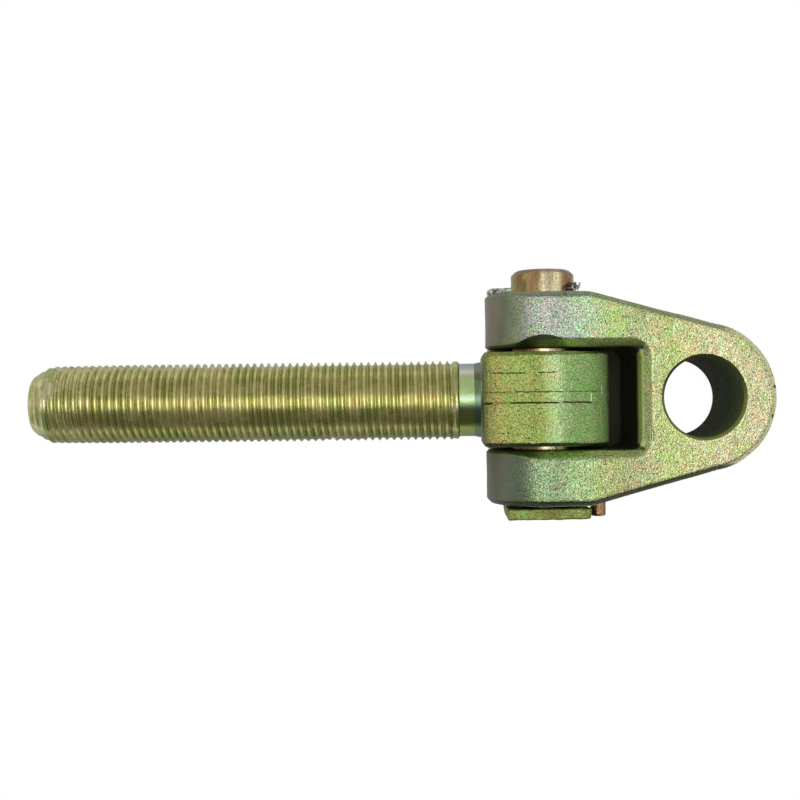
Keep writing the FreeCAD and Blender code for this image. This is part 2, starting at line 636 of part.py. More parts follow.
def lay_down(model, rod_end, fork, hinge_pin, split_pin, dowel):
    """Lay the assembly on the floor: the eye's round, the shank's end and the tongue's tip touch it."""
    size = model.size
    height = size("eye_radius")
    rod_slope = lean_on_floor(height, size("shank_length") - size("shank_end_chamfer"),
                              size("thread_diameter") / 2)
    tip = size("bore_distance") + size("tongue_radius") - size("fork_edge_bevel")
    fork_slope = lean_on_floor(height, tip, size("tongue_thickness") / 2)
    across = Vector(0, 1, 0)
    rod_turn = Rotation(across, -rod_slope)
    fork_turn = Rotation(across, fork_slope)

    # The origin is the middle of the whole part's footprint
    rod_end.Placement = Placement(Vector(), rod_turn)
    fork.Placement = Placement(Vector(), fork_turn)
    model.document.recompute()
    shank_reach = rod_end.Shape.optimalBoundingBox(False).XMin
    tip_reach = fork.Shape.optimalBoundingBox(False).XMax
    head_reach = size("fork_width") / 2 + size("head_gap") + size("head_thickness")
    end_reach = size("fork_width") / 2 + size("pin_end_stand")
    centre = Vector(-(shank_reach + tip_reach) / 2, (head_reach - end_reach) / 2, height)
    rod_end.Placement = Placement(centre, rod_turn)
    fork_place = Placement(centre, fork_turn)
    fork.Placement = fork_place
    hinge_pin.Placement = fork_place
    in_ear = Placement(Vector(size("dowel_distance"), 0, size("dowel_height")), Rotation())
    dowel.Placement = fork_place.multiply(in_ear)
    hole_radius = size("split_diameter") / 2 + size("split_clearance")
    hole_place = Vector(0, size("fork_width") / 2 + size("split_seat") + hole_radius, 0)
    in_hole = Placement(hole_place, Rotation(across, -size("split_angle")))
    split_pin.Placement = fork_place.multiply(in_hole)
    model.document.recompute()
    print(f"pin axis at {centre.x:.4f}, {centre.y:.4f}, {centre.z:.4f}; "
          f"rod slope {rod_slope:.4f}, fork slope {fork_slope:.4f} degrees")


def write_parts(model):
    """Check every object and write each sub-part's shape to its own file."""
    for item in model.document.Objects:
        if "Invalid" in item.State or "Error" in item.State:
            raise RuntimeError(f"{item.Name} failed: {item.State}")
    for part in model.bodies:
        if part.Shape.isNull() or not part.Shape.isValid() or len(part.Shape.Solids) != 1:
            raise RuntimeError(f"{part.Label} has no valid solid")
    os.makedirs(PARTS_FOLDER, exist_ok=True)
    for part in model.bodies:
        part.Shape.exportStep(os.path.join(PARTS_FOLDER, part.Label + ".step"))
        print(f"{part.Label}: {part.Shape.Volume / 1000:.2f} cm3")


def main():
    """Build every sub-part, lay the assembly down and write it."""
    model = RodEndModel()
    rod_end = build_rod_end(model)
    fork = build_fork(model)
    hinge_pin = build_hinge_pin(model)
    split_pin = build_split_pin(model)
    dowel = build_locking_dowel(model)
    lay_down(model, rod_end, fork, hinge_pin, split_pin, dowel)
    write_parts(model)


main()
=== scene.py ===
"""Clevis rod end in yellow passivated zinc, lying on its side on a pale floor and seen from straight above.

A threaded eye, the fork that is pinned to it, and the pin, split pin and dowel that hold them together.
All sizes are in metres. Each forging has a frame of its own: origin on the hinge pin's axis, X along the
piece towards the fork's tongue, Y along the hinge pin and Z up.
"""

import json
import logging
import math
from dataclasses import dataclass, field
from enum import Enum
from typing import Any, Callable, Sequence

import bmesh
import bpy
import numpy as np
from mathutils import Matrix, Vector, noise


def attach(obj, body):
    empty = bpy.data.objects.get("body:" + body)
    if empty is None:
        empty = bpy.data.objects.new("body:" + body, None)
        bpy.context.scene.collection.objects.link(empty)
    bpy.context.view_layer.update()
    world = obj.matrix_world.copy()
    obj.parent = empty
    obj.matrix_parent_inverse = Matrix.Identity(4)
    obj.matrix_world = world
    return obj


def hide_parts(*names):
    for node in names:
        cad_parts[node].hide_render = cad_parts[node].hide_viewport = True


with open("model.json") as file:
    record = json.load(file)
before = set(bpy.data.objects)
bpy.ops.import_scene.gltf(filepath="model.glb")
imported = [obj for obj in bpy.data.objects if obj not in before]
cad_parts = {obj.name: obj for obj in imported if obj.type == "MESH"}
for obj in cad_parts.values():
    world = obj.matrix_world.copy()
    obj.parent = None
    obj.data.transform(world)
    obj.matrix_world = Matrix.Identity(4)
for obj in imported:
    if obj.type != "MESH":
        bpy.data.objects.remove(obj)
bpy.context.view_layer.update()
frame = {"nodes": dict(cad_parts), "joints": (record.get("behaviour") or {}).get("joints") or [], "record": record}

LOG = logging.getLogger("clevis_rod_end")
MM = 0.001
ACROSS = Vector((0.0, 1.0, 0.0))
LENGTHWISE = (1.0, 0.0, 0.0)
WHITE = (1.0, 1.0, 1.0, 1.0)
Triple = tuple[float, float, float]


def clamped(value: float) -> float:
    """A value kept between 0 and 1."""
    return min(1.0, max(0.0, value))


def bend(radius: float, angle: float, steps: int) -> list[tuple[float, float]]:
    """Points of a bend, from its start to an angle: how far along and how far aside each lies."""
    turns = [angle * step / steps for step in range(steps + 1)]
    return [(radius * math.sin(turn), radius * (1.0 - math.cos(turn))) for turn in turns]


def mount(name: str) -> dict[str, Any]:
    """A mount of the CAD model, by its name."""
    return next(row for row in frame["record"]["mounts"] if row["name"] == name)


def placed(name: str, data: bpy.types.ID) -> bpy.types.Object:
    """Put a new object into the scene.

    Args:
        name: The object's name.
        data: Its mesh, lamp or camera.

    Returns:
        The object.
    """
    made = bpy.data.objects.new(name, data)
    bpy.context.scene.collection.objects.link(made)
    return made


class Tone(Enum):
    """Tones that the passivated film and the bare steel show, and tones of painted light and shade, as linear
    colours.
    """

    STRAW = (0.62, 0.60, 0.24)
    YELLOW_GREEN = (0.44, 0.47, 0.13)
    GREEN = (0.30, 0.42, 0.14)
    OLIVE = (0.36, 0.33, 0.12)
    DEEP_OLIVE = (0.12, 0.13, 0.04)
    BRONZE = (0.40, 0.26, 0.11)
    TEAL = (0.24, 0.38, 0.28)
    PINK = (0.66, 0.48, 0.34)
    SILVER = (0.56, 0.56, 0.46)
    BLUE_GREY = (0.40, 0.50, 0.46)
    BEIGE = (0.60, 0.57, 0.33)
    COPPER = (0.72, 0.42, 0.20)
    CREAM = (1.0, 0.89, 0.56)
    UMBER = (0.10, 0.05, 0.025)
    DARK_STEEL = (0.10, 0.10, 0.095)
    BLACK = (0.006, 0.007, 0.004)
    PALE = (0.86, 0.86, 0.85)
    ROSE_TINT = (1.22, 0.93, 0.98)
    GREEN_TINT = (0.92, 1.06, 0.72)
    TEAL_TINT = (0.80, 1.0, 1.12)
    RIM_OLIVE = (0.185, 0.20, 0.052)
    OCHRE = (0.30, 0.27, 0.07)
    MOSS_GOLD = (0.24, 0.30, 0.07)
    PALE_MINT = (0.40, 0.54, 0.24)
    LEAF = (0.29, 0.46, 0.155)
    EDGE_GREEN = (0.44, 0.65, 0.16)
    EDGE_LEAF = (0.64, 0.78, 0.25)
    EDGE_OLIVE = (0.18, 0.235, 0.05)
    SLOT_PAINTED_LIGHT = (0.60, 0.74, 0.22)
    SAND = (0.44, 0.47, 0.24)
    # painted shade: the dark colour of the floor's painted shadow and of the shaded slot
    PAINTED_SHADE = (0.075, 0.085, 0.053)
    GLINT = (0.92, 1.0, 0.62)
    PINE = (0.15, 0.21, 0.085)
    EDGE_GREY = (0.17, 0.21, 0.12)
    EDGE_DARK = (0.022, 0.027, 0.008)
    MAUVE_GREY = (0.235, 0.215, 0.155)
    SEA_GREY = (0.14, 0.185, 0.12)
    OLIVE_GREY = (0.27, 0.30, 0.19)
    SILVER_GREY = (0.32, 0.355, 0.295)
    MINT = (0.355, 0.46, 0.32)
    LIME = (0.50, 0.62, 0.26)
    PALE_STRAW = (0.45, 0.52, 0.205)
    ROSE_BEIGE = (0.58, 0.58, 0.325)
    SLATE = (0.16, 0.175, 0.12)
    FERN_GREY = (0.22, 0.31, 0.16)
    FERN = (0.32, 0.44, 0.205)
    STRAW_GREEN = (0.46, 0.52, 0.22)
    BORE_GREEN = (0.065, 0.085, 0.038)
    DARK_BRONZE = (0.17, 0.115, 0.05)
    RED_BRONZE = (0.26, 0.12, 0.065)
    SPRING = (0.58, 0.78, 0.31)
    GLASS_GREEN = (0.26, 0.38, 0.20)

    @property
    def rgba(self) -> tuple[float, float, float, float]:
        """The tone with full opacity, as colour sockets want it."""
        return (*self.value, 1.0)


Bands = tuple[tuple[float, Tone], ...]


class Shade:
    """A socket of a node tree, on which Python's operators add Math nodes."""

    def __init__(self, tree: "MaterialTree", socket: bpy.types.NodeSocket) -> None:
        """Keep the socket and its tree."""
        self.tree = tree
        self.socket = socket

    def math(self, operation: str, *others: Any) -> "Shade":
        """Add a Math node.

        Args:
            operation: The node's operation.
            others: The values or shades of its further sockets.

        Returns:
            The node's result.
        """
        values = {0: self, **{place: other for place, other in enumerate(others, start=1)}}
        return self.tree.node("ShaderNodeMath", {"operation": operation}, values)

    def __add__(self, other: Any) -> "Shade":
        """Sum."""
        return self.math("ADD", other)

    __radd__ = __add__

    def __mul__(self, other: Any) -> "Shade":
        """Product."""
        return self.math("MULTIPLY", other)

    __rmul__ = __mul__

    def __sub__(self, other: Any) -> "Shade":
        """Difference."""
        return self.math("SUBTRACT", other)

    def __rsub__(self, other: Any) -> "Shade":
        """Difference the other way round."""
        return self.tree.node("ShaderNodeMath", {"operation": "SUBTRACT"}, {0: other, 1: self})

    def __truediv__(self, other: Any) -> "Shade":
        """Quotient."""
        return self.math("DIVIDE", other)

    def __abs__(self) -> "Shade":
        """Size without sign."""
        return self.math("ABSOLUTE")

    def __pow__(self, other: Any) -> "Shade":
        """Power."""
        return self.math("POWER", other)

    def larger(self, other: Any) -> "Shade":
        """The larger of two values."""
        return self.math("MAXIMUM", other)

    def step(self, low: float, high: float) -> "Shade":
        """A soft step from 0 to 1 between low and high.

        Args:
            low: Where the step starts.
            high: Where it ends; below low, the step falls instead.

        Returns:
            The step.
        """
        settings = {"interpolation_type": "SMOOTHSTEP", "clamp": True}
        ends = (low, high, 0.0, 1.0) if low < high else (high, low, 1.0, 0.0)
        names = ("From Min", "From Max", "To Min", "To Max")
        values = {"Value": self, **dict(zip(names, ends))}
        return self.tree.node("ShaderNodeMapRange", settings, values)

    def window(self, low: float, high: float, soft: float) -> "Shade":
        """1 between low and high, fading to 0 over soft outside them."""
        return self.step(low - soft, low) * self.step(high + soft, high)


class MaterialTree:
    """A material and its node tree, which holds one principled shader."""

    def __init__(self, name: str, owner: bpy.types.ID | None = None) -> None:
        """Make the material, or take a world that is given.

        Args:
            name: The material's name.
            owner: A world to fill instead of a new material.
        """
        self.owner = owner or bpy.data.materials.new(name)
        self.owner.use_nodes = True
        self.tree = self.owner.node_tree
        self.tree.nodes.clear()

    def node(self, kind: str, settings: dict[str, Any] | None = None,
             values: dict[Any, Any] | None = None, output: int | str = 0) -> Shade:
        """Add a node.

        Args:
            kind: The node's type.
            settings: Its properties, set first; "stops" fills a colour ramp with (place, Tone) pairs.
            values: The values or links of its sockets, by name or number.
            output: The output to return.

        Returns:
            The output as a shade.
        """
        node = self.tree.nodes.new(kind)
        for key, value in (settings or {}).items():
            if key == "stops":
                self._fill_ramp(node.color_ramp, value)
            else:
                setattr(node, key, value)
        for key, value in (values or {}).items():
            socket = node.inputs[key]
            if isinstance(value, Shade):
                self.tree.links.new(value.socket, socket)
            elif isinstance(value, Tone):
                socket.default_value = value.rgba
            else:
                socket.default_value = value
        return Shade(self, node.outputs[output])

    @staticmethod
    def _fill_ramp(ramp: bpy.types.ColorRamp, stops: Bands) -> None:
        """Set a ramp's stops.

        Args:
            ramp: The ramp, which has two stops of its own.
            stops: Pairs of place and tone.
        """
        for place in range(len(stops) - 2):
            ramp.elements.new((place + 1) / len(stops))
        for element, (place, tone) in zip(ramp.elements, stops):
            element.position = place
            element.color = tone.rgba

    def place(self) -> Shade:
        """The point on the piece, in millimetres of its own frame."""
        point = self.node("ShaderNodeTexCoord", output="Object")
        return self.node("ShaderNodeVectorMath", {"operation": "SCALE"}, {0: point, "Scale": 1000.0})

    def axes(self, point: Shade) -> tuple[Shade, Shade, Shade]:
        """The three coordinates of a point."""
        return tuple(self.node("ShaderNodeSeparateXYZ", None, {0: point}, output=index) for index in range(3))

    def noise(self, point: Shade, size: float, detail: float = 2.0, rough: float = 0.5,
              shift: Triple | None = None, stretch: Triple | None = None) -> Shade:
        """Noise between 0 and 1.

        Args:
            point: Where it is read, in millimetres.
            size: The width of its blotches in millimetres.
            detail: How many finer octaves it has.
            rough: How strong these are.
            shift: How far off it is read, so that no two noises are alike.
            stretch: Factors along the three axes; one below 1 draws the blotches out.

        Returns:
            The noise.
        """
        if shift or stretch:
            moves = {0: point, 1: stretch or (1.0, 1.0, 1.0), 2: shift or (0.0, 0.0, 0.0)}
            point = self.node("ShaderNodeVectorMath", {"operation": "MULTIPLY_ADD"}, moves)
        values = {"Vector": point, "Scale": 1.0 / size, "Detail": detail, "Roughness": rough}
        return self.node("ShaderNodeTexNoise", {"noise_dimensions": "3D"}, values)

    def mix(self, factor: Shade | float, first: Shade | Tone, second: Shade | Tone,
            blend: str = "MIX") -> Shade:
        """Mix two colours."""
        settings = {"data_type": "RGBA", "blend_type": blend, "clamp_factor": True}
        return self.node("ShaderNodeMix", settings, {0: factor, 6: first, 7: second}, output=2)

    def tinted(self, colour: Shade, amount: Shade) -> Shade:
        """A colour made lighter or darker by a factor about 1."""
        return self.node("ShaderNodeVectorMath", {"operation": "SCALE"}, {0: colour, "Scale": amount})

    def ramp(self, value: Shade, stops: Bands) -> Shade:
        """Colours along a value between 0 and 1."""
        return self.node("ShaderNodeValToRGB", {"stops": stops}, {0: value})

    def bump(self, height: Shade, depth: float, normal: Shade | None = None) -> Shade:
        """A normal from a height.

        Args:
            height: The height between 0 and 1.
            depth: What 1 stands for, in metres.
            normal: The normal that it adds to.

        Returns:
            The bumped normal.
        """
        values = {"Height": height, "Distance": depth, "Strength": 1.0}
        if normal:
            values["Normal"] = normal
        return self.node("ShaderNodeBump", None, values)

    def metal(self, colour: Shade, roughness: Shade, normal: Shade, metallic: Shade | float,
              specular: float = 0.5) -> bpy.types.Material:
        """Close the tree with a principled shader.

        Args:
            colour: The base colour.
            roughness: The roughness.
            normal: The bumped normal.
            metallic: How metallic the surface is.
            specular: The specular level, the same all over.

        Returns:
            The finished material.
        """
        values = {"Base Color": colour, "Roughness": roughness, "Normal": normal,
                  "Metallic": metallic, "Specular IOR Level": specular}
        shader = self.node("ShaderNodeBsdfPrincipled", None, values)
        self.node_output("ShaderNodeOutputMaterial", shader)
        return self.owner

    def node_output(self, kind: str, shader: Shade) -> None:
        """Link a shader to a new output node's surface."""
        output = self.tree.nodes.new(kind)
        self.tree.links.new(shader.socket, output.inputs["Surface"])


@dataclass(frozen=True)
class Crack:
    """A seam or crack in a forging's upper skin, along X, in millimetres of its frame."""

    start: float
    end: float
    across: float
    width: float
    wander: float
    broken: float
    depth: float = 1.0

    def mask(self, tree: MaterialTree, point: Shade) -> Shade:
        """1 in the crack, a thin and wandering line that is broken here and there, and 0 beside it.

        Args:
            tree: The material's tree.
            point: The point on the piece, in millimetres.

        Returns:
            The mask.
        """
        along, sideways, up = tree.axes(point)
        line = tree.noise(point, 3.5, 3.0, 0.5, (self.across, 0.0, 0.0), LENGTHWISE)
        ragged = tree.noise(point, 0.8, 2.0, 0.5, (0.0, self.across, 7.0), LENGTHWISE)
        gap = abs(sideways - self.across - (line - 0.5) * self.wander)
        edge = self.width * (0.45 + ragged)
        inside = (1.0 - gap / edge).step(0.0, 0.7)
        whole = ragged.step(self.broken - 0.06, self.broken + 0.06)
        inside = inside * whole * along.window(self.start, self.end, 0.8)
        return inside * up.step(2.0, 6.0) * self.depth


@dataclass(frozen=True)
class Mark:
    """A short nick, smudge, painted glint or painted shade line across a forging's upper skin, along Y,
    in millimetres of its frame.
    """

    along: float
    start: float
    end: float
    width: float
    tone: Tone
    strength: float = 1.0
    floor: float = 19.0

    def mask(self, tree: MaterialTree, point: Shade) -> Shade:
        """1 in the mark, a short and ragged stroke above its floor, and 0 beside it.

        Args:
            tree: The material's tree.
            point: The point on the piece, in millimetres.

        Returns:
            The mask.
        """
        along, sideways, up = tree.axes(point)
        ragged = tree.noise(point, 0.8, 2.0)
        gap = abs(along - self.along + (ragged - 0.5) * self.width * 1.6)
        inside = (1.0 - gap / self.width).step(0.0, 0.6) * sideways.window(self.start, self.end, 0.4)
        return inside * up.step(self.floor - 1.0, self.floor + 1.0) * self.strength


@dataclass(frozen=True)
class ForgedSkin:
    """Shot-blasted forging under yellow passivation: sparkling grain, dark pits and tints that drift, with
    painted light and shade in its bands, on its bevels and in a slot where it has one.
    """

    name: str
    low: float
    high: float
    bands: Bands
    far_bands: Bands | None = None
    slot: Triple | None = None
    slot_corner: float = 4.0
    cracks: tuple[Crack, ...] = ()
    marks: tuple[Mark, ...] = ()
    # painted shade: the tone of bevels that face +Y
    edge: Tone = Tone.EDGE_GREY
    calm: float = -90.0
    grain: float = 0.70
    grain_depth: float = 0.34 * MM
    roughness: float = 0.36
    metallic: float = 0.85
    dull_from: float | None = None
    dull_over: float = 2.5

    def material(self) -> bpy.types.Material:
        """Build the material.

        Returns:
            The material.
        """
        tree = MaterialTree(self.name)
        point = tree.place()
        along, sideways, up = tree.axes(point)
        fine = tree.noise(point, self.grain, 2.0, 0.6)
        sparkle = tree.noise(point, 0.6, 1.0, 0.5, (3.0, 60.0, 19.0))
        coarse = tree.noise(point, 2.4, 2.0, 0.5, (31.0, 7.0, 3.0))
        drift = tree.noise(point, 11.0, 3.0, 0.55, (5.0, 40.0, 9.0))
        film = tree.noise(point, 5.0, 3.0, 0.5, (80.0, 3.0, 60.0))
        pits = tree.noise(point, 1.0, 1.0, 0.4, (2.0, 17.0, 66.0))

        grainy = (along + (film - 0.5) * 12.0).step(self.calm - 5.0, self.calm + 5.0)
        reach = (along - self.low + (drift - 0.5) * 7.0) / (self.high - self.low)
        colour = tree.ramp(reach, self.bands)
        # painted shade: the -Y side takes the darker far bands
        if self.far_bands:
            colour = tree.mix(sideways.step(8.0, -8.0), colour, tree.ramp(reach, self.far_bands))
        for blotch, start, end, share, tint in ((film, 0.53, 0.64, 0.75, Tone.GREEN_TINT),
                                                (film, 0.46, 0.36, 0.65, Tone.ROSE_TINT),
                                                (coarse, 0.54, 0.68, 0.65, Tone.ROSE_TINT),
                                                (coarse, 0.46, 0.33, 0.65, Tone.TEAL_TINT)):
            colour = tree.mix(blotch.step(start, end) * share, colour, tint, "MULTIPLY")
        colour = self._bevels(tree, colour, along, sideways + (film - 0.5) * 0.9)
        pit = pits.step(0.69, 0.75) * (0.25 + grainy * 0.75)
        lively = 1.1
        if self.far_bands:
            lively = 1.1 + sideways.step(8.0, -8.0) * along.step(34.0, 24.0) * 0.7
        grains = (fine - 0.5) * (0.4 + grainy * lively)
        glitter = sparkle.step(0.52, 0.72) * grainy * 0.55
        colour = tree.tinted(colour, 0.94 + grains + glitter - sparkle.step(0.48, 0.34) * grainy * 0.2)
        colour = tree.mix(pit * 0.6, colour, Tone.EDGE_DARK)
        height = (fine * 0.5 + sparkle * 0.5) * (0.15 + grainy * 0.85) + coarse * 0.3 - pit * 0.4
        metallic = self.metallic
        if self.slot:
            colour, dull = self._recess(tree, colour, along, sideways, up)
            metallic = self.metallic - dull * 0.75
        if self.dull_from is not None:
            metallic = self.metallic - along.step(self.dull_from, self.dull_from + self.dull_over) * 0.35
        for mark in self.marks:
            colour = tree.mix(mark.mask(tree, point), colour, mark.tone)
        for crack in self.cracks:
            mask = crack.mask(tree, point)
            colour = tree.mix(mask, colour, Tone.BLACK)
            height = height - mask * 1.2
        rough = self.roughness + (coarse - 0.5) * 0.2 + pit * 0.2 - grainy * 0.04
        return tree.metal(colour, rough, tree.bump(height, self.grain_depth), metallic)

    def _bevels(self, tree: MaterialTree, colour: Shade, along: Shade, sideways: Shade) -> Shade:
        """Paint shade on the bevels by the way they face, and paint light and shade on the slot's bevels.

        Args:
            tree: The material's tree.
            colour: The skin's colour.
            along: X in millimetres.
            sideways: Y in millimetres, unevenly.

        Returns:
            The colour with its painted light and shade on the bevels.
        """
        facing = tree.axes(tree.node("ShaderNodeTexCoord", output="Normal"))[1]
        slanted = abs(facing).step(0.92, 0.80)
        if self.slot:
            slanted = slanted * abs(sideways).step(26.0, 28.0)
        # painted shade: bevels facing +Y take the edge tone, bevels facing -Y turn nearly black
        colour = tree.mix(facing.step(0.28, 0.50) * slanted * 0.72, colour, self.edge)
        colour = tree.mix(facing.step(-0.28, -0.50) * slanted * 0.92, colour, Tone.EDGE_DARK)
        if self.slot:
            depth, half_width, bevel = self.slot
            narrow = along.step(-8.0, -22.0) * 1.8
            near = (abs(sideways) + narrow).step(half_width + bevel + 0.1, half_width + bevel - 0.4)
            near = near * along.step(depth + 0.8, depth - 0.4)
            far = sideways.step(4.0, -4.0)
            inner = along.step(8.0, 24.0)
            brink = abs(sideways).step(half_width + bevel, half_width + 0.4)
            outer = along.step(-3.0, -10.0)
            # painted light and shade on the slot's bevels: bright on the near side, green on the far side, dark
            # round the ears' ends and darker along the near side's inner brink
            tone = tree.mix(far.larger(outer), Tone.EDGE_LEAF, Tone.EDGE_GREEN)
            tone = tree.mix(outer * 0.72, tone, Tone.EDGE_DARK)
            tone = tree.mix(inner * (1.0 - far) * (0.05 + brink * 0.55), tone, Tone.EDGE_DARK)
            share = (0.88 - inner * 0.4) + inner * brink * 0.4
            colour = tree.mix(near * share * (1.0 - far * inner * 0.55), colour, tone)
        return colour

    def _recess(self, tree: MaterialTree, colour: Shade, along: Shade, sideways: Shade,
                up: Shade) -> tuple[Shade, Shade]:
        """Dull plating inside the slot, with painted light along the top of its end and painted shade below it
        and on its walls.

        Args:
            tree: The material's tree.
            colour: The skin's colour.
            along: X in millimetres.
            sideways: Y in millimetres.
            up: Z in millimetres.

        Returns:
            The colour with its painted light and shade in the slot, and where the plating is dull.
        """
        depth, half_width, bevel = self.slot
        wall = abs(sideways).step(half_width + 0.9, half_width + 0.2) * along.step(depth + 0.9, depth + 0.2)
        end = along.step(depth - 1.5, depth - 0.5)
        corner = (abs(sideways) - (half_width - self.slot_corner)).larger(0.0)
        deep = (up - corner * corner * 0.9).step(14.5, 8.5)
        # painted light: the slot's end wall is painted bright green, kept near its top
        colour = tree.mix(wall * end * 0.8, colour, Tone.SLOT_PAINTED_LIGHT)
        # painted shade: the slot's side walls and the lower part of its end wall turn nearly black
        brink = abs(up).step(23.0, 22.0 - bevel) * (1.0 - end) + deep * end
        return tree.mix(wall * brink * 0.98, colour, Tone.PAINTED_SHADE), wall * end * (1.0 - deep)


@dataclass(frozen=True)
class RolledThread:
    """Thread rolled into the shank: glossy film, pale worn crests, warmer flanks and painted shade at -Y."""

    name: str = "rolled_thread"
    crest: float = 16.5
    depth: float = 1.6
    cone_end: float = -206.5
    tones: Bands = ((0.30, Tone.GREEN), (0.45, Tone.OLIVE), (0.56, Tone.BEIGE), (0.70, Tone.BRONZE))
    roughness: float = 0.30

    def material(self) -> bpy.types.Material:
        """Build the material.

        Returns:
            The material.
        """
        tree = MaterialTree(self.name)
        point = tree.place()
        along, sideways, up = tree.axes(point)
        radius = (sideways * sideways + up * up) ** 0.5
        blotch = tree.noise(point, 9.0, 3.0, 0.6)
        film = tree.noise(point, 4.0, 3.0, 0.6, (44.0, 5.0, 71.0))
        speck = tree.noise(point, 0.7, 2.0, 0.6, (3.0, 50.0, 1.0))
        crest = radius.step(self.crest - 0.28, self.crest - 0.05)
        root = radius.step(self.crest - self.depth + 0.45, self.crest - self.depth + 0.1)
        root = root * along.step(self.cone_end - 1.0, self.cone_end + 2.0)
        colour = tree.ramp(blotch, self.tones)
        colour = tree.mix(film.step(0.50, 0.68) * 0.6, colour, Tone.YELLOW_GREEN)
        colour = tree.mix(film.step(0.45, 0.30) * 0.4, colour, Tone.PINK)
        colour = tree.mix(crest * 0.45, colour, Tone.STRAW)
        colour = tree.mix(root * 0.60, colour, Tone.STRAW)
        # painted shade: the -Y side of the thread is darkened and tinted green
        colour = tree.tinted(colour, (0.86 + speck * 0.3) * (1.0 - sideways.step(-10.0, -14.5) * 0.46))
        colour = tree.mix(sideways.step(-9.0, -14.0) * 0.7, colour, Tone.GREEN_TINT, "MULTIPLY")
        colour = tree.mix(speck.step(0.70, 0.80) * 0.6, colour, Tone.UMBER)
        rough = self.roughness + (speck - 0.5) * 0.2 + (blotch - 0.5) * 0.15
        height = speck * 0.6 + film * 0.4
        return tree.metal(colour, rough, tree.bump(height, 0.05 * MM), 0.88)


@dataclass(frozen=True)
class TurnedSteel:
    """Smooth turned steel under a thin film; its bands round the bar are film tint and painted reflection."""

    name: str = "turned_neck"
    radius: float = 15.15
    tones: Bands = ((0.0, Tone.GREEN), (0.10, Tone.MOSS_GOLD), (0.30, Tone.MOSS_GOLD), (0.38, Tone.SLATE),
                    (0.46, Tone.PINE), (0.50, Tone.GLASS_GREEN), (0.53, Tone.SILVER_GREY),
                    (0.56, Tone.GLASS_GREEN), (0.64, Tone.SPRING), (0.76, Tone.SPRING),
                    (0.86, Tone.SILVER), (0.97, Tone.BLUE_GREY))
    roughness: float = 0.24
    darker_beyond: float | None = -28.9

    def material(self) -> bpy.types.Material:
        """Build the material.

        Returns:
            The material.
        """
        tree = MaterialTree(self.name)
        point = tree.place()
        along, sideways, up = tree.axes(point)
        grooves = tree.noise(point, 0.22, 2.0, 0.6, stretch=(1.0, 0.02, 0.02))
        cloud = tree.noise(point, 6.0, 3.0, 0.5)
        turn = (sideways / self.radius + 1.0) * 0.5 + (cloud - 0.5) * 0.12
        # painted reflection: across Y the neck's ramp sets a dark band, a thin bright line and a bright band
        colour = tree.ramp(turn, self.tones)
        colour = tree.tinted(colour, 0.88 + grooves * 0.25)
        if self.darker_beyond is not None:
            # painted shade: the flare before the eye is darkened and tinted teal and red, a painted reflection of
            # the dark shoulder
            dark = along.step(self.darker_beyond - 0.15, self.darker_beyond + 0.15)
            colour = tree.mix(dark * 0.6, colour, Tone.TEAL)
            colour = tree.mix(dark * turn.window(0.78, 0.86, 0.05) * 0.5, colour, Tone.RED_BRONZE)
            colour = tree.tinted(colour, 1.0 - dark * 0.45)
        rough = self.roughness + (cloud - 0.5) * 0.1 + grooves * 0.06
        return tree.metal(colour, rough, tree.bump(grooves, 0.012 * MM), 0.92)


@dataclass(frozen=True)
class BoredSteel:
    """Bored wall with fine tool marks round it, painted dark as shade but for a rim at its mouths."""

    name: str = "bored_steel"
    axis: int = 2
    wall: Tone = Tone.BLACK
    mouth: Tone = Tone.RIM_OLIVE
    mouth_from: float = 20.0
    mouth_to: float = 21.2
    roughness: float = 0.55
    specular: float = 0.10

    def material(self) -> bpy.types.Material:
        """Build the material.

        Returns:
            The material.
        """
        tree = MaterialTree(self.name)
        point = tree.place()
        coordinates = tree.axes(point)
        squeeze = tuple(1.0 if index == self.axis else 0.03 for index in range(3))
        marks = tree.noise(point, 0.25, 2.0, 0.6, stretch=squeeze)
        cloud = tree.noise(point, 7.0, 3.0, 0.55)
        # painted shade: the wall is painted dark
        wall = tree.mix(cloud.step(0.35, 0.7) * 0.6, self.wall, Tone.BORE_GREEN)
        # painted shade: the rim is darker on its +Y side
        mouth = tree.mix(coordinates[1].step(-1.0, 9.0) * 0.75, self.mouth, Tone.EDGE_DARK)
        colour = tree.mix(abs(coordinates[self.axis]).step(self.mouth_from, self.mouth_to), wall, mouth)
        colour = tree.tinted(colour, 0.8 + marks * 0.4)
        rough = self.roughness + (cloud - 0.5) * 0.2 + marks * 0.08
        return tree.metal(colour, rough, tree.bump(marks, 0.02 * MM), 0.0, self.specular)


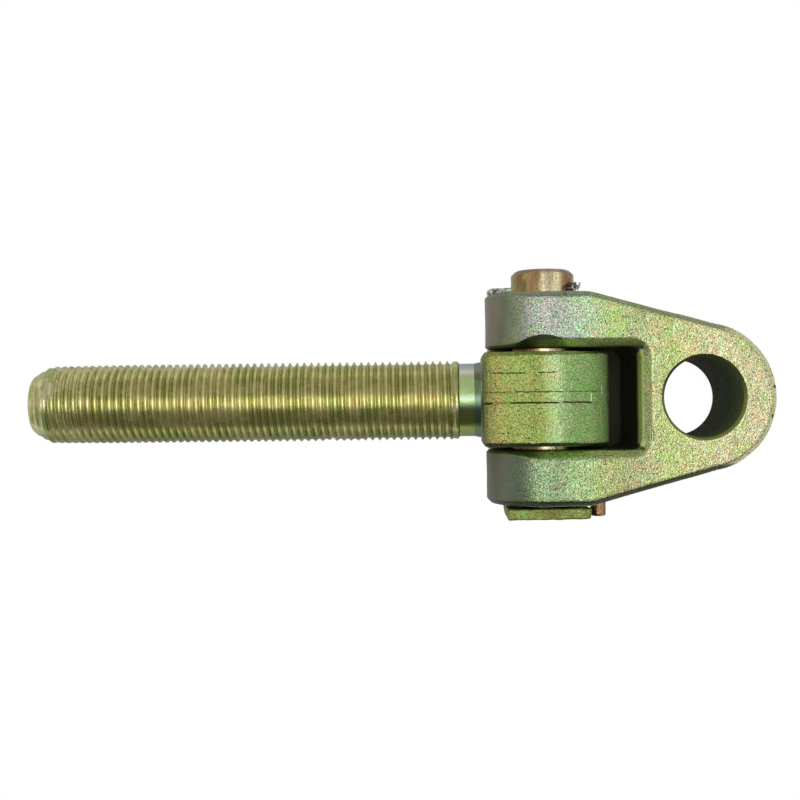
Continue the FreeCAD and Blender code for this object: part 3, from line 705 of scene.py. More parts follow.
@dataclass(frozen=True)
class CopperedPin:
    """Ground pin with a thin copper-coloured film, and tints, painted highlight and shade along its length."""

    name: str
    radius: float
    tones: Bands = ((0.02, Tone.OLIVE), (0.08, Tone.RED_BRONZE), (0.15, Tone.DEEP_OLIVE),
                    (0.21, Tone.BRONZE), (0.36, Tone.BRONZE), (0.44, Tone.CREAM), (0.52, Tone.PINK),
                    (0.60, Tone.CREAM), (0.68, Tone.CREAM), (0.74, Tone.BRONZE), (0.81, Tone.RED_BRONZE),
                    (0.89, Tone.DARK_BRONZE), (0.97, Tone.OLIVE))
    painted_shade_from: float | None = None
    end: float | None = None
    roughness: float = 0.28

    def material(self) -> bpy.types.Material:
        """Build the material.

        Returns:
            The material.
        """
        tree = MaterialTree(self.name)
        point = tree.place()
        along, sideways, up = tree.axes(point)
        streak = tree.noise(point, 0.9, 3.0, 0.6, stretch=(1.0, 0.12, 1.0))
        cloud = tree.noise(point, 3.2, 3.0, 0.6)
        speck = tree.noise(point, 0.8, 2.0, 0.6, (12.0, 4.0, 8.0), (1.0, 0.7, 1.0))
        turn = (along / self.radius + 1.0) * 0.5 + (streak - 0.5) * 0.10
        # painted highlight and shade: the ramp across the pin sets light and dark bands along it, cream down the
        # hinge pin's middle
        colour = tree.ramp(turn, self.tones)
        colour = tree.mix(cloud.step(0.55, 0.7) * 0.35, colour, Tone.COPPER)
        colour = tree.mix(speck.step(0.54, 0.66) * 0.70, colour, Tone.RED_BRONZE)
        colour = tree.mix(speck.step(0.44, 0.32) * 0.55, colour, Tone.YELLOW_GREEN)
        colour = tree.tinted(colour, streak * 1.2 + (speck - 0.2) * 1.1)
        if self.end is not None:
            # painted shade: the chamfered end is darkened
            colour = tree.mix(sideways.step(self.end - 1.9, self.end - 1.3) * 0.75, colour, Tone.DARK_BRONZE)
        if self.painted_shade_from is not None:
            # painted shade: the shaft in the gap between the ear and the head is painted black
            colour = tree.mix(sideways.step(self.painted_shade_from, self.painted_shade_from - 0.3), colour, Tone.BLACK)
        rough = self.roughness + (speck - 0.5) * 0.25
        return tree.metal(colour, rough, tree.bump(speck * 0.6 + streak * 0.4, 0.10 * MM), 0.88)


@dataclass(frozen=True)
class ShearedSteel:
    """Hot-sheared edge of the pin's head: coarse, torn and mottled green and bronze."""

    name: str = "sheared_head"
    tones: Bands = ((0.30, Tone.LEAF), (0.48, Tone.MOSS_GOLD), (0.62, Tone.RIM_OLIVE), (0.75, Tone.OCHRE))
    roughness: float = 0.45

    def material(self) -> bpy.types.Material:
        """Build the material.

        Returns:
            The material.
        """
        tree = MaterialTree(self.name)
        point = tree.place()
        torn = tree.noise(point, 0.6, 3.0, 0.7, stretch=(1.0, 1.0, 0.6))
        cloud = tree.noise(point, 4.0, 3.0, 0.6)
        fleck = tree.noise(point, 0.6, 2.0, 0.6, (7.0, 1.0, 3.0))
        colour = tree.ramp(cloud, self.tones)
        colour = tree.mix(fleck.step(0.55, 0.68) * 0.5, colour, Tone.BRONZE)
        colour = tree.mix(fleck.step(0.44, 0.32) * 0.8, colour, Tone.EDGE_DARK)
        colour = tree.tinted(colour, torn * 2.1 - 0.12)
        rough = self.roughness + (torn - 0.5) * 0.3
        return tree.metal(colour, rough, tree.bump(torn * 0.7 + fleck * 0.3, 0.16 * MM), 0.8)


@dataclass(frozen=True)
class SplitWire:
    """Drawn half-round wire, dull grey zinc with scuffs along it."""

    name: str = "split_pin_wire"
    tones: Bands = ((0.40, Tone.DARK_STEEL), (0.54, Tone.SILVER), (0.68, Tone.PALE))
    roughness: float = 0.27

    def material(self) -> bpy.types.Material:
        """Build the material.

        Returns:
            The material.
        """
        tree = MaterialTree(self.name)
        point = tree.place()
        scuff = tree.noise(point, 0.5, 3.0, 0.6, stretch=(0.3, 1.0, 1.0))
        cloud = tree.noise(point, 1.8, 3.0, 0.6)
        colour = tree.ramp(cloud, self.tones)
        eye_brighter = 1.15 - tree.axes(point)[0].step(0.0, 10.0) * 0.45
        colour = tree.tinted(colour, (scuff * 2.9 - 0.6) * eye_brighter)
        rough = self.roughness + (scuff - 0.5) * 0.3
        return tree.metal(colour, rough, tree.bump(scuff, 0.03 * MM), 0.9)


@dataclass(frozen=True)
class PartFrame:
    """Where a piece's own frame stands in the frame of the whole part."""

    matrix: Matrix

    @classmethod
    def about_pin(cls, pivot: Vector, along: Vector) -> "PartFrame":
        """A frame on the hinge pin.

        Args:
            pivot: A point of the hinge pin's axis, half way along the pin.
            along: The piece's long direction.

        Returns:
            The frame.
        """
        x_axis = (along - ACROSS * along.dot(ACROSS)).normalized()
        z_axis = x_axis.cross(ACROSS).normalized()
        turn = Matrix((x_axis, ACROSS, z_axis)).transposed()
        return cls(Matrix.Translation(pivot) @ turn.to_4x4())

    def local(self, points: np.ndarray) -> np.ndarray:
        """Points of the whole part's frame, seen in this one."""
        inverse = np.array(self.matrix.inverted())
        return points @ inverse[:3, :3].T + inverse[:3, 3]

    def turned(self, turn: Matrix, place: Vector) -> "PartFrame":
        """This frame moved to place and turned there."""
        return PartFrame(self.matrix @ Matrix.Translation(place) @ turn)


class Shaper:
    """Makes meshes in a piece's own frame and turns them into pieces."""

    @staticmethod
    def mesh(name: str, points: Sequence[Sequence[float]], faces: Sequence[Sequence[int]]) -> bpy.types.Mesh:
        """A mesh from points and faces, with doubled points merged and normals outward.

        Args:
            name: The mesh's name.
            points: Its points.
            faces: Its faces, as indices of points.

        Returns:
            The mesh.
        """
        mesh = bpy.data.meshes.new(name)
        mesh.from_pydata([tuple(point) for point in points], [], [tuple(face) for face in faces])
        Shaper.tidy(mesh)
        return mesh

    @staticmethod
    def tidy(mesh: bpy.types.Mesh) -> None:
        """Merge doubled points, drop faces without area and turn the normals outward.

        Args:
            mesh: The mesh to change.
        """
        tissue = bmesh.new()
        tissue.from_mesh(mesh)
        bmesh.ops.remove_doubles(tissue, verts=tissue.verts, dist=2e-6)
        bmesh.ops.dissolve_degenerate(tissue, edges=tissue.edges, dist=1e-7)
        bmesh.ops.recalc_face_normals(tissue, faces=tissue.faces)
        tissue.to_mesh(mesh)
        tissue.free()

    @staticmethod
    def points(mesh: bpy.types.Mesh) -> np.ndarray:
        """A mesh's points as rows."""
        return np.array([vertex.co for vertex in mesh.vertices], float)

    @staticmethod
    def lathe(name: str, profile: Sequence[tuple[float, float]], axis: int, steps: int,
              centre: Triple | None = None) -> bpy.types.Mesh:
        """Turn a profile about one of the axes.

        Args:
            name: The mesh's name.
            profile: Pairs of place along the axis and radius; a radius of 0 closes an end.
            axis: 0, 1 or 2 for X, Y or Z.
            steps: How many sides a full turn has.
            centre: How far the turned mesh is moved off that axis.

        Returns:
            The mesh.
        """
        angles = np.linspace(0.0, 2.0 * math.pi, steps, endpoint=False)
        points = np.zeros((len(profile), steps, 3))
        second, third = (axis + 1) % 3, (axis + 2) % 3
        for row, (along, radius) in enumerate(profile):
            points[row, :, axis] = along
            points[row, :, second] = radius * np.cos(angles)
            points[row, :, third] = radius * np.sin(angles)
        turned = Shaper.mesh(name, points.reshape(-1, 3), Shaper.ring_faces(len(profile), steps))
        if centre:
            turned.transform(Matrix.Translation(centre))
        return turned

    @staticmethod
    def rod(name: str, start: float, end: float, radius: float, axis: int, steps: int,
            centre: Triple | None = None) -> bpy.types.Mesh:
        """A plain closed cylinder, with the same last three arguments as lathe."""
        profile = [(start, 0.0), (start, radius), (end, radius), (end, 0.0)]
        return Shaper.lathe(name, profile, axis, steps, centre)

    @staticmethod
    def countersink(name: str, start: float, end: float, radius: float, chamfer: float, beyond: float,
                    axis: int, steps: int, centre: Triple | None = None) -> bpy.types.Mesh:
        """A drill that clears a bore and chamfers its mouths.

        Args:
            name: The mesh's name.
            start: Where along the axis the bore starts.
            end: Where it ends.
            radius: Its radius.
            chamfer: How wide and deep the chamfers are.
            beyond: How far the drill reaches past each mouth.
            axis: 0, 1 or 2 for X, Y or Z.
            steps: How many sides a full turn has.
            centre: How far the bore is off that axis.

        Returns:
            The mesh.
        """
        way = 1.0 if end > start else -1.0
        wide = radius + chamfer + beyond
        profile = [(start - way * beyond, 0.0), (start - way * beyond, wide), (start + way * chamfer, radius),
                   (end - way * chamfer, radius), (end + way * beyond, wide), (end + way * beyond, 0.0)]
        return Shaper.lathe(name, profile, axis, steps, centre)

    @staticmethod
    def ring_faces(rows: int, columns: int, lead: int = 0) -> list[tuple[int, int, int, int]]:
        """Faces of a grid whose last column joins its first.

        Args:
            rows: How many rows.
            columns: How many columns.
            lead: How many rows further on the first column is met, as on a screw.

        Returns:
            The faces as indices of points, row by row.
        """
        faces = []
        for row in range(rows - 1):
            for column in range(columns):
                beside = column + 1
                jump = lead if beside == columns else 0
                if row + 1 + jump >= rows:
                    continue
                first = (row + jump) * columns + beside % columns
                faces.append((row * columns + column, first, first + columns,
                              (row + 1) * columns + column))
        return faces

    @staticmethod
    def sliced(mesh: bpy.types.Mesh, place: Vector, keep: Vector) -> bpy.types.Mesh:
        """Cut a closed mesh at a plane and close the cut.

        Args:
            mesh: The mesh to change.
            place: A point of the plane.
            keep: The plane's normal, on the side that stays.

        Returns:
            The same mesh.
        """
        tissue = bmesh.new()
        tissue.from_mesh(mesh)
        everything = list(tissue.verts) + list(tissue.edges) + list(tissue.faces)
        cut = bmesh.ops.bisect_plane(tissue, geom=everything, plane_co=place, plane_no=keep, clear_inner=True)
        rim = [item for item in cut["geom_cut"] if isinstance(item, bmesh.types.BMEdge)]
        bmesh.ops.holes_fill(tissue, edges=rim, sides=0)
        bmesh.ops.recalc_face_normals(tissue, faces=tissue.faces)
        tissue.to_mesh(mesh)
        tissue.free()
        return mesh

    @staticmethod
    def rounded(mesh: bpy.types.Mesh, axis: int, centre: Triple, radius: float,
                start: float, side: float, slack: float = 0.36 * MM) -> None:
        """Bring a faceted round to its true radius.

        Args:
            mesh: The mesh to change.
            axis: The round's axis, 0, 1 or 2 for X, Y or Z.
            centre: A point of that axis.
            radius: The true radius.
            start: Where along X the round starts.
            side: 1 if it lies beyond its start, -1 if it lies before it.
            slack: How far a point may be from the radius and still belong to the round.
        """
        points = Shaper.points(mesh)
        normals = np.array([vertex.normal for vertex in mesh.vertices], float)
        spokes = points - np.array(centre)
        spokes[:, axis] = 0.0
        reach = np.linalg.norm(spokes, axis=1)
        spokes /= np.maximum(reach, 1e-9)[:, None]
        beyond = (spokes * normals).sum(axis=1) > 0.93
        inside = np.abs(reach - radius) < slack
        share = np.clip(side * (points[:, 0] - start) / (1.5 * MM), 0.0, 1.0)
        points += spokes * ((radius - reach) * share * beyond * inside)[:, None]
        mesh.vertices.foreach_set("co", points.astype(np.float32).ravel())
        mesh.update()

    @staticmethod
    def piece(name: str, mesh: bpy.types.Mesh, place: PartFrame, angle: float,
              *materials: bpy.types.Material) -> bpy.types.Object:
        """An object in the scene that is shaded smooth, wears its materials and stands in its frame.

        Args:
            name: The object's name.
            mesh: Its mesh, whose faces say which material they use.
            place: Its frame.
            angle: Edges sharper than this, in degrees, stay sharp.
            materials: Its materials, in the order of their slots.

        Returns:
            The object.
        """
        mesh.polygons.foreach_set("use_smooth", [True] * len(mesh.polygons))
        mesh.set_sharp_from_angle(angle=math.radians(angle))
        indices = [polygon.material_index for polygon in mesh.polygons]
        mesh.materials.clear()
        for material in materials:
            mesh.materials.append(material)
        mesh.polygons.foreach_set("material_index", indices)
        made = placed(name, mesh)
        made.matrix_world = place.matrix
        return made

    @staticmethod
    def node_copy(node: str, place: PartFrame) -> bpy.types.Mesh:
        """A closed copy of a CAD node's mesh.

        Args:
            node: The node's name.
            place: The frame in which it is seen.

        Returns:
            The copy.
        """
        mesh = frame["nodes"][node].data.copy()
        points = place.local(Shaper.points(mesh))
        mesh.vertices.foreach_set("co", points.astype(np.float32).ravel())
        mesh.materials.clear()
        Shaper.tidy(mesh)
        return mesh

    @staticmethod
    def joined(name: str, meshes: Sequence[bpy.types.Mesh]) -> bpy.types.Mesh:
        """Several meshes as one.

        Args:
            name: The new mesh's name.
            meshes: What it is made of.

        Returns:
            The new mesh.
        """
        tissue = bmesh.new()
        for mesh in meshes:
            tissue.from_mesh(mesh)
        joint = bpy.data.meshes.new(name)
        tissue.to_mesh(joint)
        tissue.free()
        return joint

    @staticmethod
    def modified(mesh: bpy.types.Mesh, kind: str, settings: dict[str, Any]) -> bpy.types.Mesh:
        """A mesh with one modifier applied.

        Args:
            mesh: The mesh to change.
            kind: The modifier's type.
            settings: Its properties.

        Returns:
            The changed mesh.
        """
        carrier = placed("carrier", mesh)
        modifier = carrier.modifiers.new("step", kind)
        for key, value in settings.items():
            setattr(modifier, key, value)
        graph = bpy.context.evaluated_depsgraph_get()
        graph.update()
        changed = bpy.data.meshes.new_from_object(carrier.evaluated_get(graph))
        bpy.data.objects.remove(carrier)
        return changed

    @staticmethod
    def cut(mesh: bpy.types.Mesh, cutter: bpy.types.Mesh, slot: int) -> bpy.types.Mesh:
        """A mesh less a cutter.

        Args:
            mesh: The mesh to cut.
            cutter: The tool.
            slot: The material slot that the cut faces take.

        Returns:
            The cut mesh.
        """
        for polygon in cutter.polygons:
            polygon.material_index = slot
        for part in (cutter, mesh):
            while len(part.materials) <= slot:
                part.materials.append(None)
        tool = placed("tool", cutter)
        settings = {"object": tool, "operation": "DIFFERENCE", "solver": "EXACT"}
        changed = Shaper.modified(mesh, "BOOLEAN", settings)
        bpy.data.objects.remove(tool)
        return changed

    @staticmethod
    def pushed(mesh: bpy.types.Mesh, rule: Callable[[Vector, Vector], float]) -> None:
        """Move each point along its normal.

        Args:
            mesh: The mesh to change.
            rule: Gives the move in metres for a point and its normal.
        """
        moves = [vertex.normal * rule(vertex.co, vertex.normal) for vertex in mesh.vertices]
        for vertex, move in zip(mesh.vertices, moves):
            vertex.co += move
        mesh.update()


@dataclass(frozen=True)
class Dent:
    """A nick knocked into an edge: where it is, how wide and how deep."""

    place: Triple
    width: float
    depth: float

    def push(self, point: Vector) -> float:
        """How far the surface is pushed in at a point."""
        gap = (point - Vector(self.place)).length / self.width
        return -self.depth * math.exp(-gap * gap) if gap < 3.0 else 0.0


@dataclass(frozen=True)
class Hammering:
    """The uneven skin of a forging, as two sizes of soft noise."""

    wave: float = 10.0 * MM
    wave_height: float = 0.16 * MM
    ripple: float = 2.6 * MM
    ripple_height: float = 0.05 * MM
    seed: float = 3.0

    def push(self, point: Vector) -> float:
        """How far the skin stands out or in.

        Args:
            point: A point of the skin.

        Returns:
            The height in metres.
        """
        shift = Vector((self.seed, self.seed, self.seed))
        broad = noise.noise(point / self.wave + shift)
        small = noise.noise(point / self.ripple + shift * 2.0)
        return self.wave_height * broad + self.ripple_height * small


@dataclass
class ThreadedShank:
    """Turned shank of the eye: rolled thread, plain neck and the hollow flare before the eye.

    The steps draw one groove of the thread, as pairs of a share of the pitch and a share of the depth.
    """

    place: PartFrame
    pitch: float = 3.0 * MM
    depth: float = 1.55 * MM
    neck_radius: float = 15.15 * MM
    neck_start: float = -35.0 * MM
    neck_end: float = -28.8 * MM
    flare_radius: float = 15.6 * MM
    hollow: float = 1.2 * MM
    shoulder: float = -25.5 * MM
    end_radius: float = 11.8 * MM
    end_cone: float = 7.2 * MM
    cone_groove: float = 0.32 * MM
    worn_length: float = 16.0 * MM
    collar_length: float = 2.4 * MM
    collar_drop: float = 0.35 * MM
    collar_slope: float = 0.5 * MM
    crest_wear: float = 0.4 * MM
    knock_height: float = 0.05 * MM
    chip_along: float = -88.6 * MM
    chip_length: float = 1.1 * MM
    chip_angle: float = 0.22
    chip_depth: float = 0.9 * MM
    scuffed_to: float = -75.0 * MM
    columns: int = 112
    steps: tuple[tuple[float, float], ...] = ((0.0, 0.0), (0.05, 0.0), (0.11, 0.24), (0.21, 0.62),
                                              (0.33, 0.90), (0.44, 1.0), (0.61, 1.0), (0.72, 0.90),
                                              (0.84, 0.62), (0.94, 0.24))
    crest_radius: float = field(init=False)
    end: float = field(init=False)

    def __post_init__(self) -> None:
        """Read the thread's radius and the shank's end from the frame."""
        self.crest_radius = mount("shank")["dims"]["r_mm"] * MM
        points = Shaper.points(frame["nodes"]["rod_end"].data)
        self.end = float(self.place.local(points)[:, 0].min())

    def envelope(self, along: float) -> float:
        """Largest radius at a place: the thread's crest, less its chamfers at both ends.

        Args:
            along: The place along the shank.

        Returns:
            The radius.
        """
        share = min(1.0, (along - self.end) / self.end_cone)
        bulge = math.sqrt(max(0.0, 1.0 - (1.0 - share) ** 2))
        fresh = min(1.0, (along - self.end) / (2.0 * self.worn_length))
        worn = self.crest_radius - self.crest_wear * (1.0 - fresh)
        widest = self.end_radius + (worn - self.end_radius) * (0.75 * share + 0.25 * bulge)
        if along > self.neck_start - self.collar_length:
            collar = self.crest_radius - self.collar_drop
            share = max(0.0, (along - self.neck_start) / self.collar_slope + 1.0)
            widest = collar + (self.neck_radius - collar) * share
        return widest

    def thread_depth(self, along: float, angle: float) -> float:
        """Depth of the thread: shallow over the first turns, at its run-out and where one side is scuffed.

        Args:
            along: The place along the shank.
            angle: The angle round it, from +Y.

        Returns:
            The depth.
        """
        share = clamped((along - self.end) / self.worn_length)
        out = clamped((self.neck_start - 1.0 * MM - along) / self.pitch)
        scuff = clamped((-math.cos(angle) - 0.90) / 0.08) * (0.5 if along < self.scuffed_to else 0.3)
        wear = (0.40 + 0.60 * share) * (0.25 + 0.75 * out) * (1.0 - scuff)
        uneven = noise.noise(Vector((along / (6.0 * MM), math.cos(angle), math.sin(angle))))
        return self.depth * wear * (1.0 + 0.10 * uneven)

    def thread_rows(self) -> np.ndarray:
        """Lay the thread's points on rows that follow its helix, from the shank's end to the neck.

        Returns:
            The points, by row and column.
        """
        span = self.neck_start - self.end
        turns = int(math.ceil(span / self.pitch)) + 2
        rows = [(turn, share, drop) for turn in range(turns) for share, drop in self.steps]
        points = np.zeros((len(rows), self.columns, 3))
        for row, (turn, share, drop) in enumerate(rows):
            for column in range(self.columns):
                angle = 2.0 * math.pi * column / self.columns
                ideal = self.end - self.pitch + (turn + share + column / self.columns) * self.pitch
                along = min(self.neck_start, max(self.end, ideal))
                cone = (along - self.end) / self.end_cone
                groove = self.cone_groove * drop * min(1.0, cone * 2.5) if cone < 1.5 else 0.0
                radius = min(self.crest_radius - self.thread_depth(along, angle) * drop,
                             self.envelope(along) - groove)
                if along in (self.end, self.neck_start):
                    radius = self.envelope(along)
                knock = noise.noise(Vector((along / (2.0 * MM), angle * 6.0, 5.0)))
                radius += self.knock_height * knock * (1.0 - drop)
                gap = (((along - self.chip_along) / self.chip_length) ** 2
                       + ((angle - math.pi) / self.chip_angle) ** 2)
                radius -= self.chip_depth * math.exp(-gap)
                points[row, column] = (along, radius * math.cos(angle), radius * math.sin(angle))
        return points

    def neck_profile(self) -> list[tuple[float, float]]:
        """Draw the neck and the flare, up to inside the eye.

        Returns:
            Pairs of place and radius.
        """
        flare_end = self.shoulder - self.hollow
        profile = [(self.neck_start, self.neck_radius), (self.neck_end - 0.1 * MM, self.neck_radius),
                   (self.neck_end, self.neck_radius),
                   (self.neck_end + 0.1 * MM, self.neck_radius + 0.02 * MM), (flare_end, self.flare_radius)]
        profile += [(flare_end + out, self.flare_radius + aside)
                    for out, aside in bend(self.hollow, math.pi / 2.0, 7)[1:]]
        profile.append((self.shoulder + 0.6 * MM, self.flare_radius + self.hollow))
        return profile

    def build(self) -> list[bpy.types.Object]:
        """Make the thread with its end face, and the neck.

        Returns:
            The three pieces.
        """
        points = self.thread_rows()
        rows, columns, _ = points.shape
        faces = Shaper.ring_faces(rows, columns, lead=len(self.steps))
        thread = Shaper.mesh("rod_thread", points.reshape(-1, 3), faces)
        film = RolledThread(crest=self.crest_radius / MM, depth=self.depth / MM,
                            cone_end=(self.end + self.end_cone) / MM)
        rim = [(self.end + 0.02 * MM, self.end_radius + 0.15 * MM), (self.end, self.end_radius)]
        rings = [(self.end, self.end_radius * (12 - ring) / 12) for ring in range(1, 13)]
        face = Shaper.lathe("rod_end_face", rim + rings, 0, self.columns)
        end_tones = ((0.0, Tone.OLIVE_GREY), (0.3, Tone.PALE_STRAW), (0.6, Tone.OLIVE_GREY),
                     (1.0, Tone.PALE_STRAW))
        end_steel = TurnedSteel("turned_end_face", self.end_radius / MM, end_tones, 0.3, None)
        neck = Shaper.lathe("rod_neck", self.neck_profile(), 0, self.columns)
        neck_steel = TurnedSteel(radius=self.neck_radius / MM)
        pieces = [Shaper.piece("rod_thread", thread, self.place, 55.0, film.material()),
                  Shaper.piece("rod_end_face", face, self.place, 40.0, end_steel.material()),
                  Shaper.piece("rod_neck", neck, self.place, 40.0, neck_steel.material())]
        for piece in pieces:
            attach(piece, "rod")
            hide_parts("rod_end")
        return pieces


@dataclass
class EyeForging:
    """The forged eye: even skin from the CAD node, trimmed flash line, seams, and its bore cut clean."""

    place: PartFrame
    voxel: float = 0.45 * MM
    radius: float = 26.0 * MM
    shoulder: float = -25.5 * MM
    half_width: float = 19.0 * MM
    bore_radius: float = 13.08 * MM
    bore_chamfer: float = 0.8 * MM
    flash_low: float = -1.5 * MM
    flash_high: float = 2.9 * MM
    flash_height: float = 0.22 * MM
    flash_edge: float = 0.25 * MM
    fullness: float = 0.9 * MM
    full_from: float = 8.0 * MM
    full_over: float = 14.0 * MM
    hammering: Hammering = Hammering(seed=11.0)
    nicks: tuple[Dent, ...] = (Dent((18.0 * MM, 0.6 * MM, 18.6 * MM), 0.7 * MM, 0.3 * MM),
                               Dent((21.0 * MM, 2.8 * MM, 15.0 * MM), 0.7 * MM, 0.25 * MM))
    cracks: tuple[Crack, ...] = (Crack(-21.0, -8.7, 10.45, 0.28, 0.9, 0.42, 0.85),
                                 Crack(-3.6, 2.75, 10.55, 0.26, 0.8, 0.42, 0.85),
                                 Crack(-25.6, 22.0, 2.90, 0.20, 1.0, 0.46, 0.75),
                                 Crack(-14.3, 3.5, -1.45, 0.34, 1.0, 0.38, 0.95),
                                 Crack(6.5, 17.6, -1.45, 0.34, 1.0, 0.38, 0.95),
                                 Crack(-25.9, -22.6, -1.70, 0.42, 0.4, 0.10))
    # The GLINT marks are painted highlights on the eye's top.
    marks: tuple[Mark, ...] = (Mark(17.5, -1.3, 1.9, 0.34, Tone.GLINT, floor=10.0),
                               Mark(22.2, 1.7, 5.0, 0.26, Tone.GLINT, 0.8, 10.0))

    def push(self, point: Vector, normal: Vector) -> float:
        """How far the eye's skin stands out: nothing on its turned shoulder.

        Args:
            point: A point of the skin.
            normal: The skin's normal there.

        Returns:
            The height in metres.
        """
        if point.x < self.shoulder + 0.5 * MM and normal.x < -0.9:
            return 0.0
        move = self.hammering.push(point)
        if abs(normal.y) < 0.7:
            rise = clamped((point.y - self.flash_low) / self.flash_edge + 0.5)
            fall = clamped((self.flash_high - point.y) / self.flash_edge + 0.5)
            move += self.flash_height * rise * fall
            move += self.fullness * clamped((point.x - self.full_from) / self.full_over)
        else:
            move *= 0.4
        return move + sum(nick.push(point) for nick in self.nicks)

    def build(self) -> bpy.types.Object:
        """Make the eye from the node's own form.

        Returns:
            The piece.
        """
        mesh = Shaper.node_copy("rod_end", self.place)
        Shaper.sliced(mesh, Vector((self.shoulder - 0.05 * MM, 0.0, 0.0)), Vector((1.0, 0.0, 0.0)))
        wide = self.bore_radius + self.bore_chamfer + 0.5 * MM
        plug = Shaper.rod("eye_plug", -self.half_width, self.half_width, wide, 1, 96)
        solid = Shaper.joined("eye_solid", [mesh, plug])
        solid = Shaper.modified(solid, "REMESH", {"mode": "VOXEL", "voxel_size": self.voxel})
        Shaper.rounded(solid, 1, (0.0, 0.0, 0.0), self.radius, -12.0 * MM, 1.0)
        Shaper.pushed(solid, self.push)
        drill = Shaper.countersink("eye_drill", -self.half_width, self.half_width, self.bore_radius,
                                   self.bore_chamfer, 0.6 * MM, 1, 96)
        eye = Shaper.cut(solid, drill, 1)
        # film tints, with painted shade at both ends where the eye rounds away from the light
        bands = ((0.00, Tone.RIM_OLIVE), (0.065, Tone.RIM_OLIVE), (0.12, Tone.OCHRE), (0.18, Tone.MOSS_GOLD),
                 (0.45, Tone.MOSS_GOLD), (0.57, Tone.PALE_MINT), (0.70, Tone.LEAF), (0.86, Tone.LEAF),
                 (0.93, Tone.LEAF), (0.97, Tone.FERN), (1.0, Tone.PINE))
        skin = ForgedSkin("eye_skin", -26.5, 26.0, bands, cracks=self.cracks, marks=self.marks,
                          edge=Tone.EDGE_OLIVE, metallic=0.6, dull_from=19.5)
        wall = BoredSteel("eye_bore_wall", 1, Tone.EDGE_DARK, Tone.RIM_OLIVE, 18.0, 18.6)
        piece = Shaper.piece("rod_eye", eye, self.place, 45.0, skin.material(), wall.material())
        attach(piece, "rod")
        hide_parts("rod_end")
        return piece


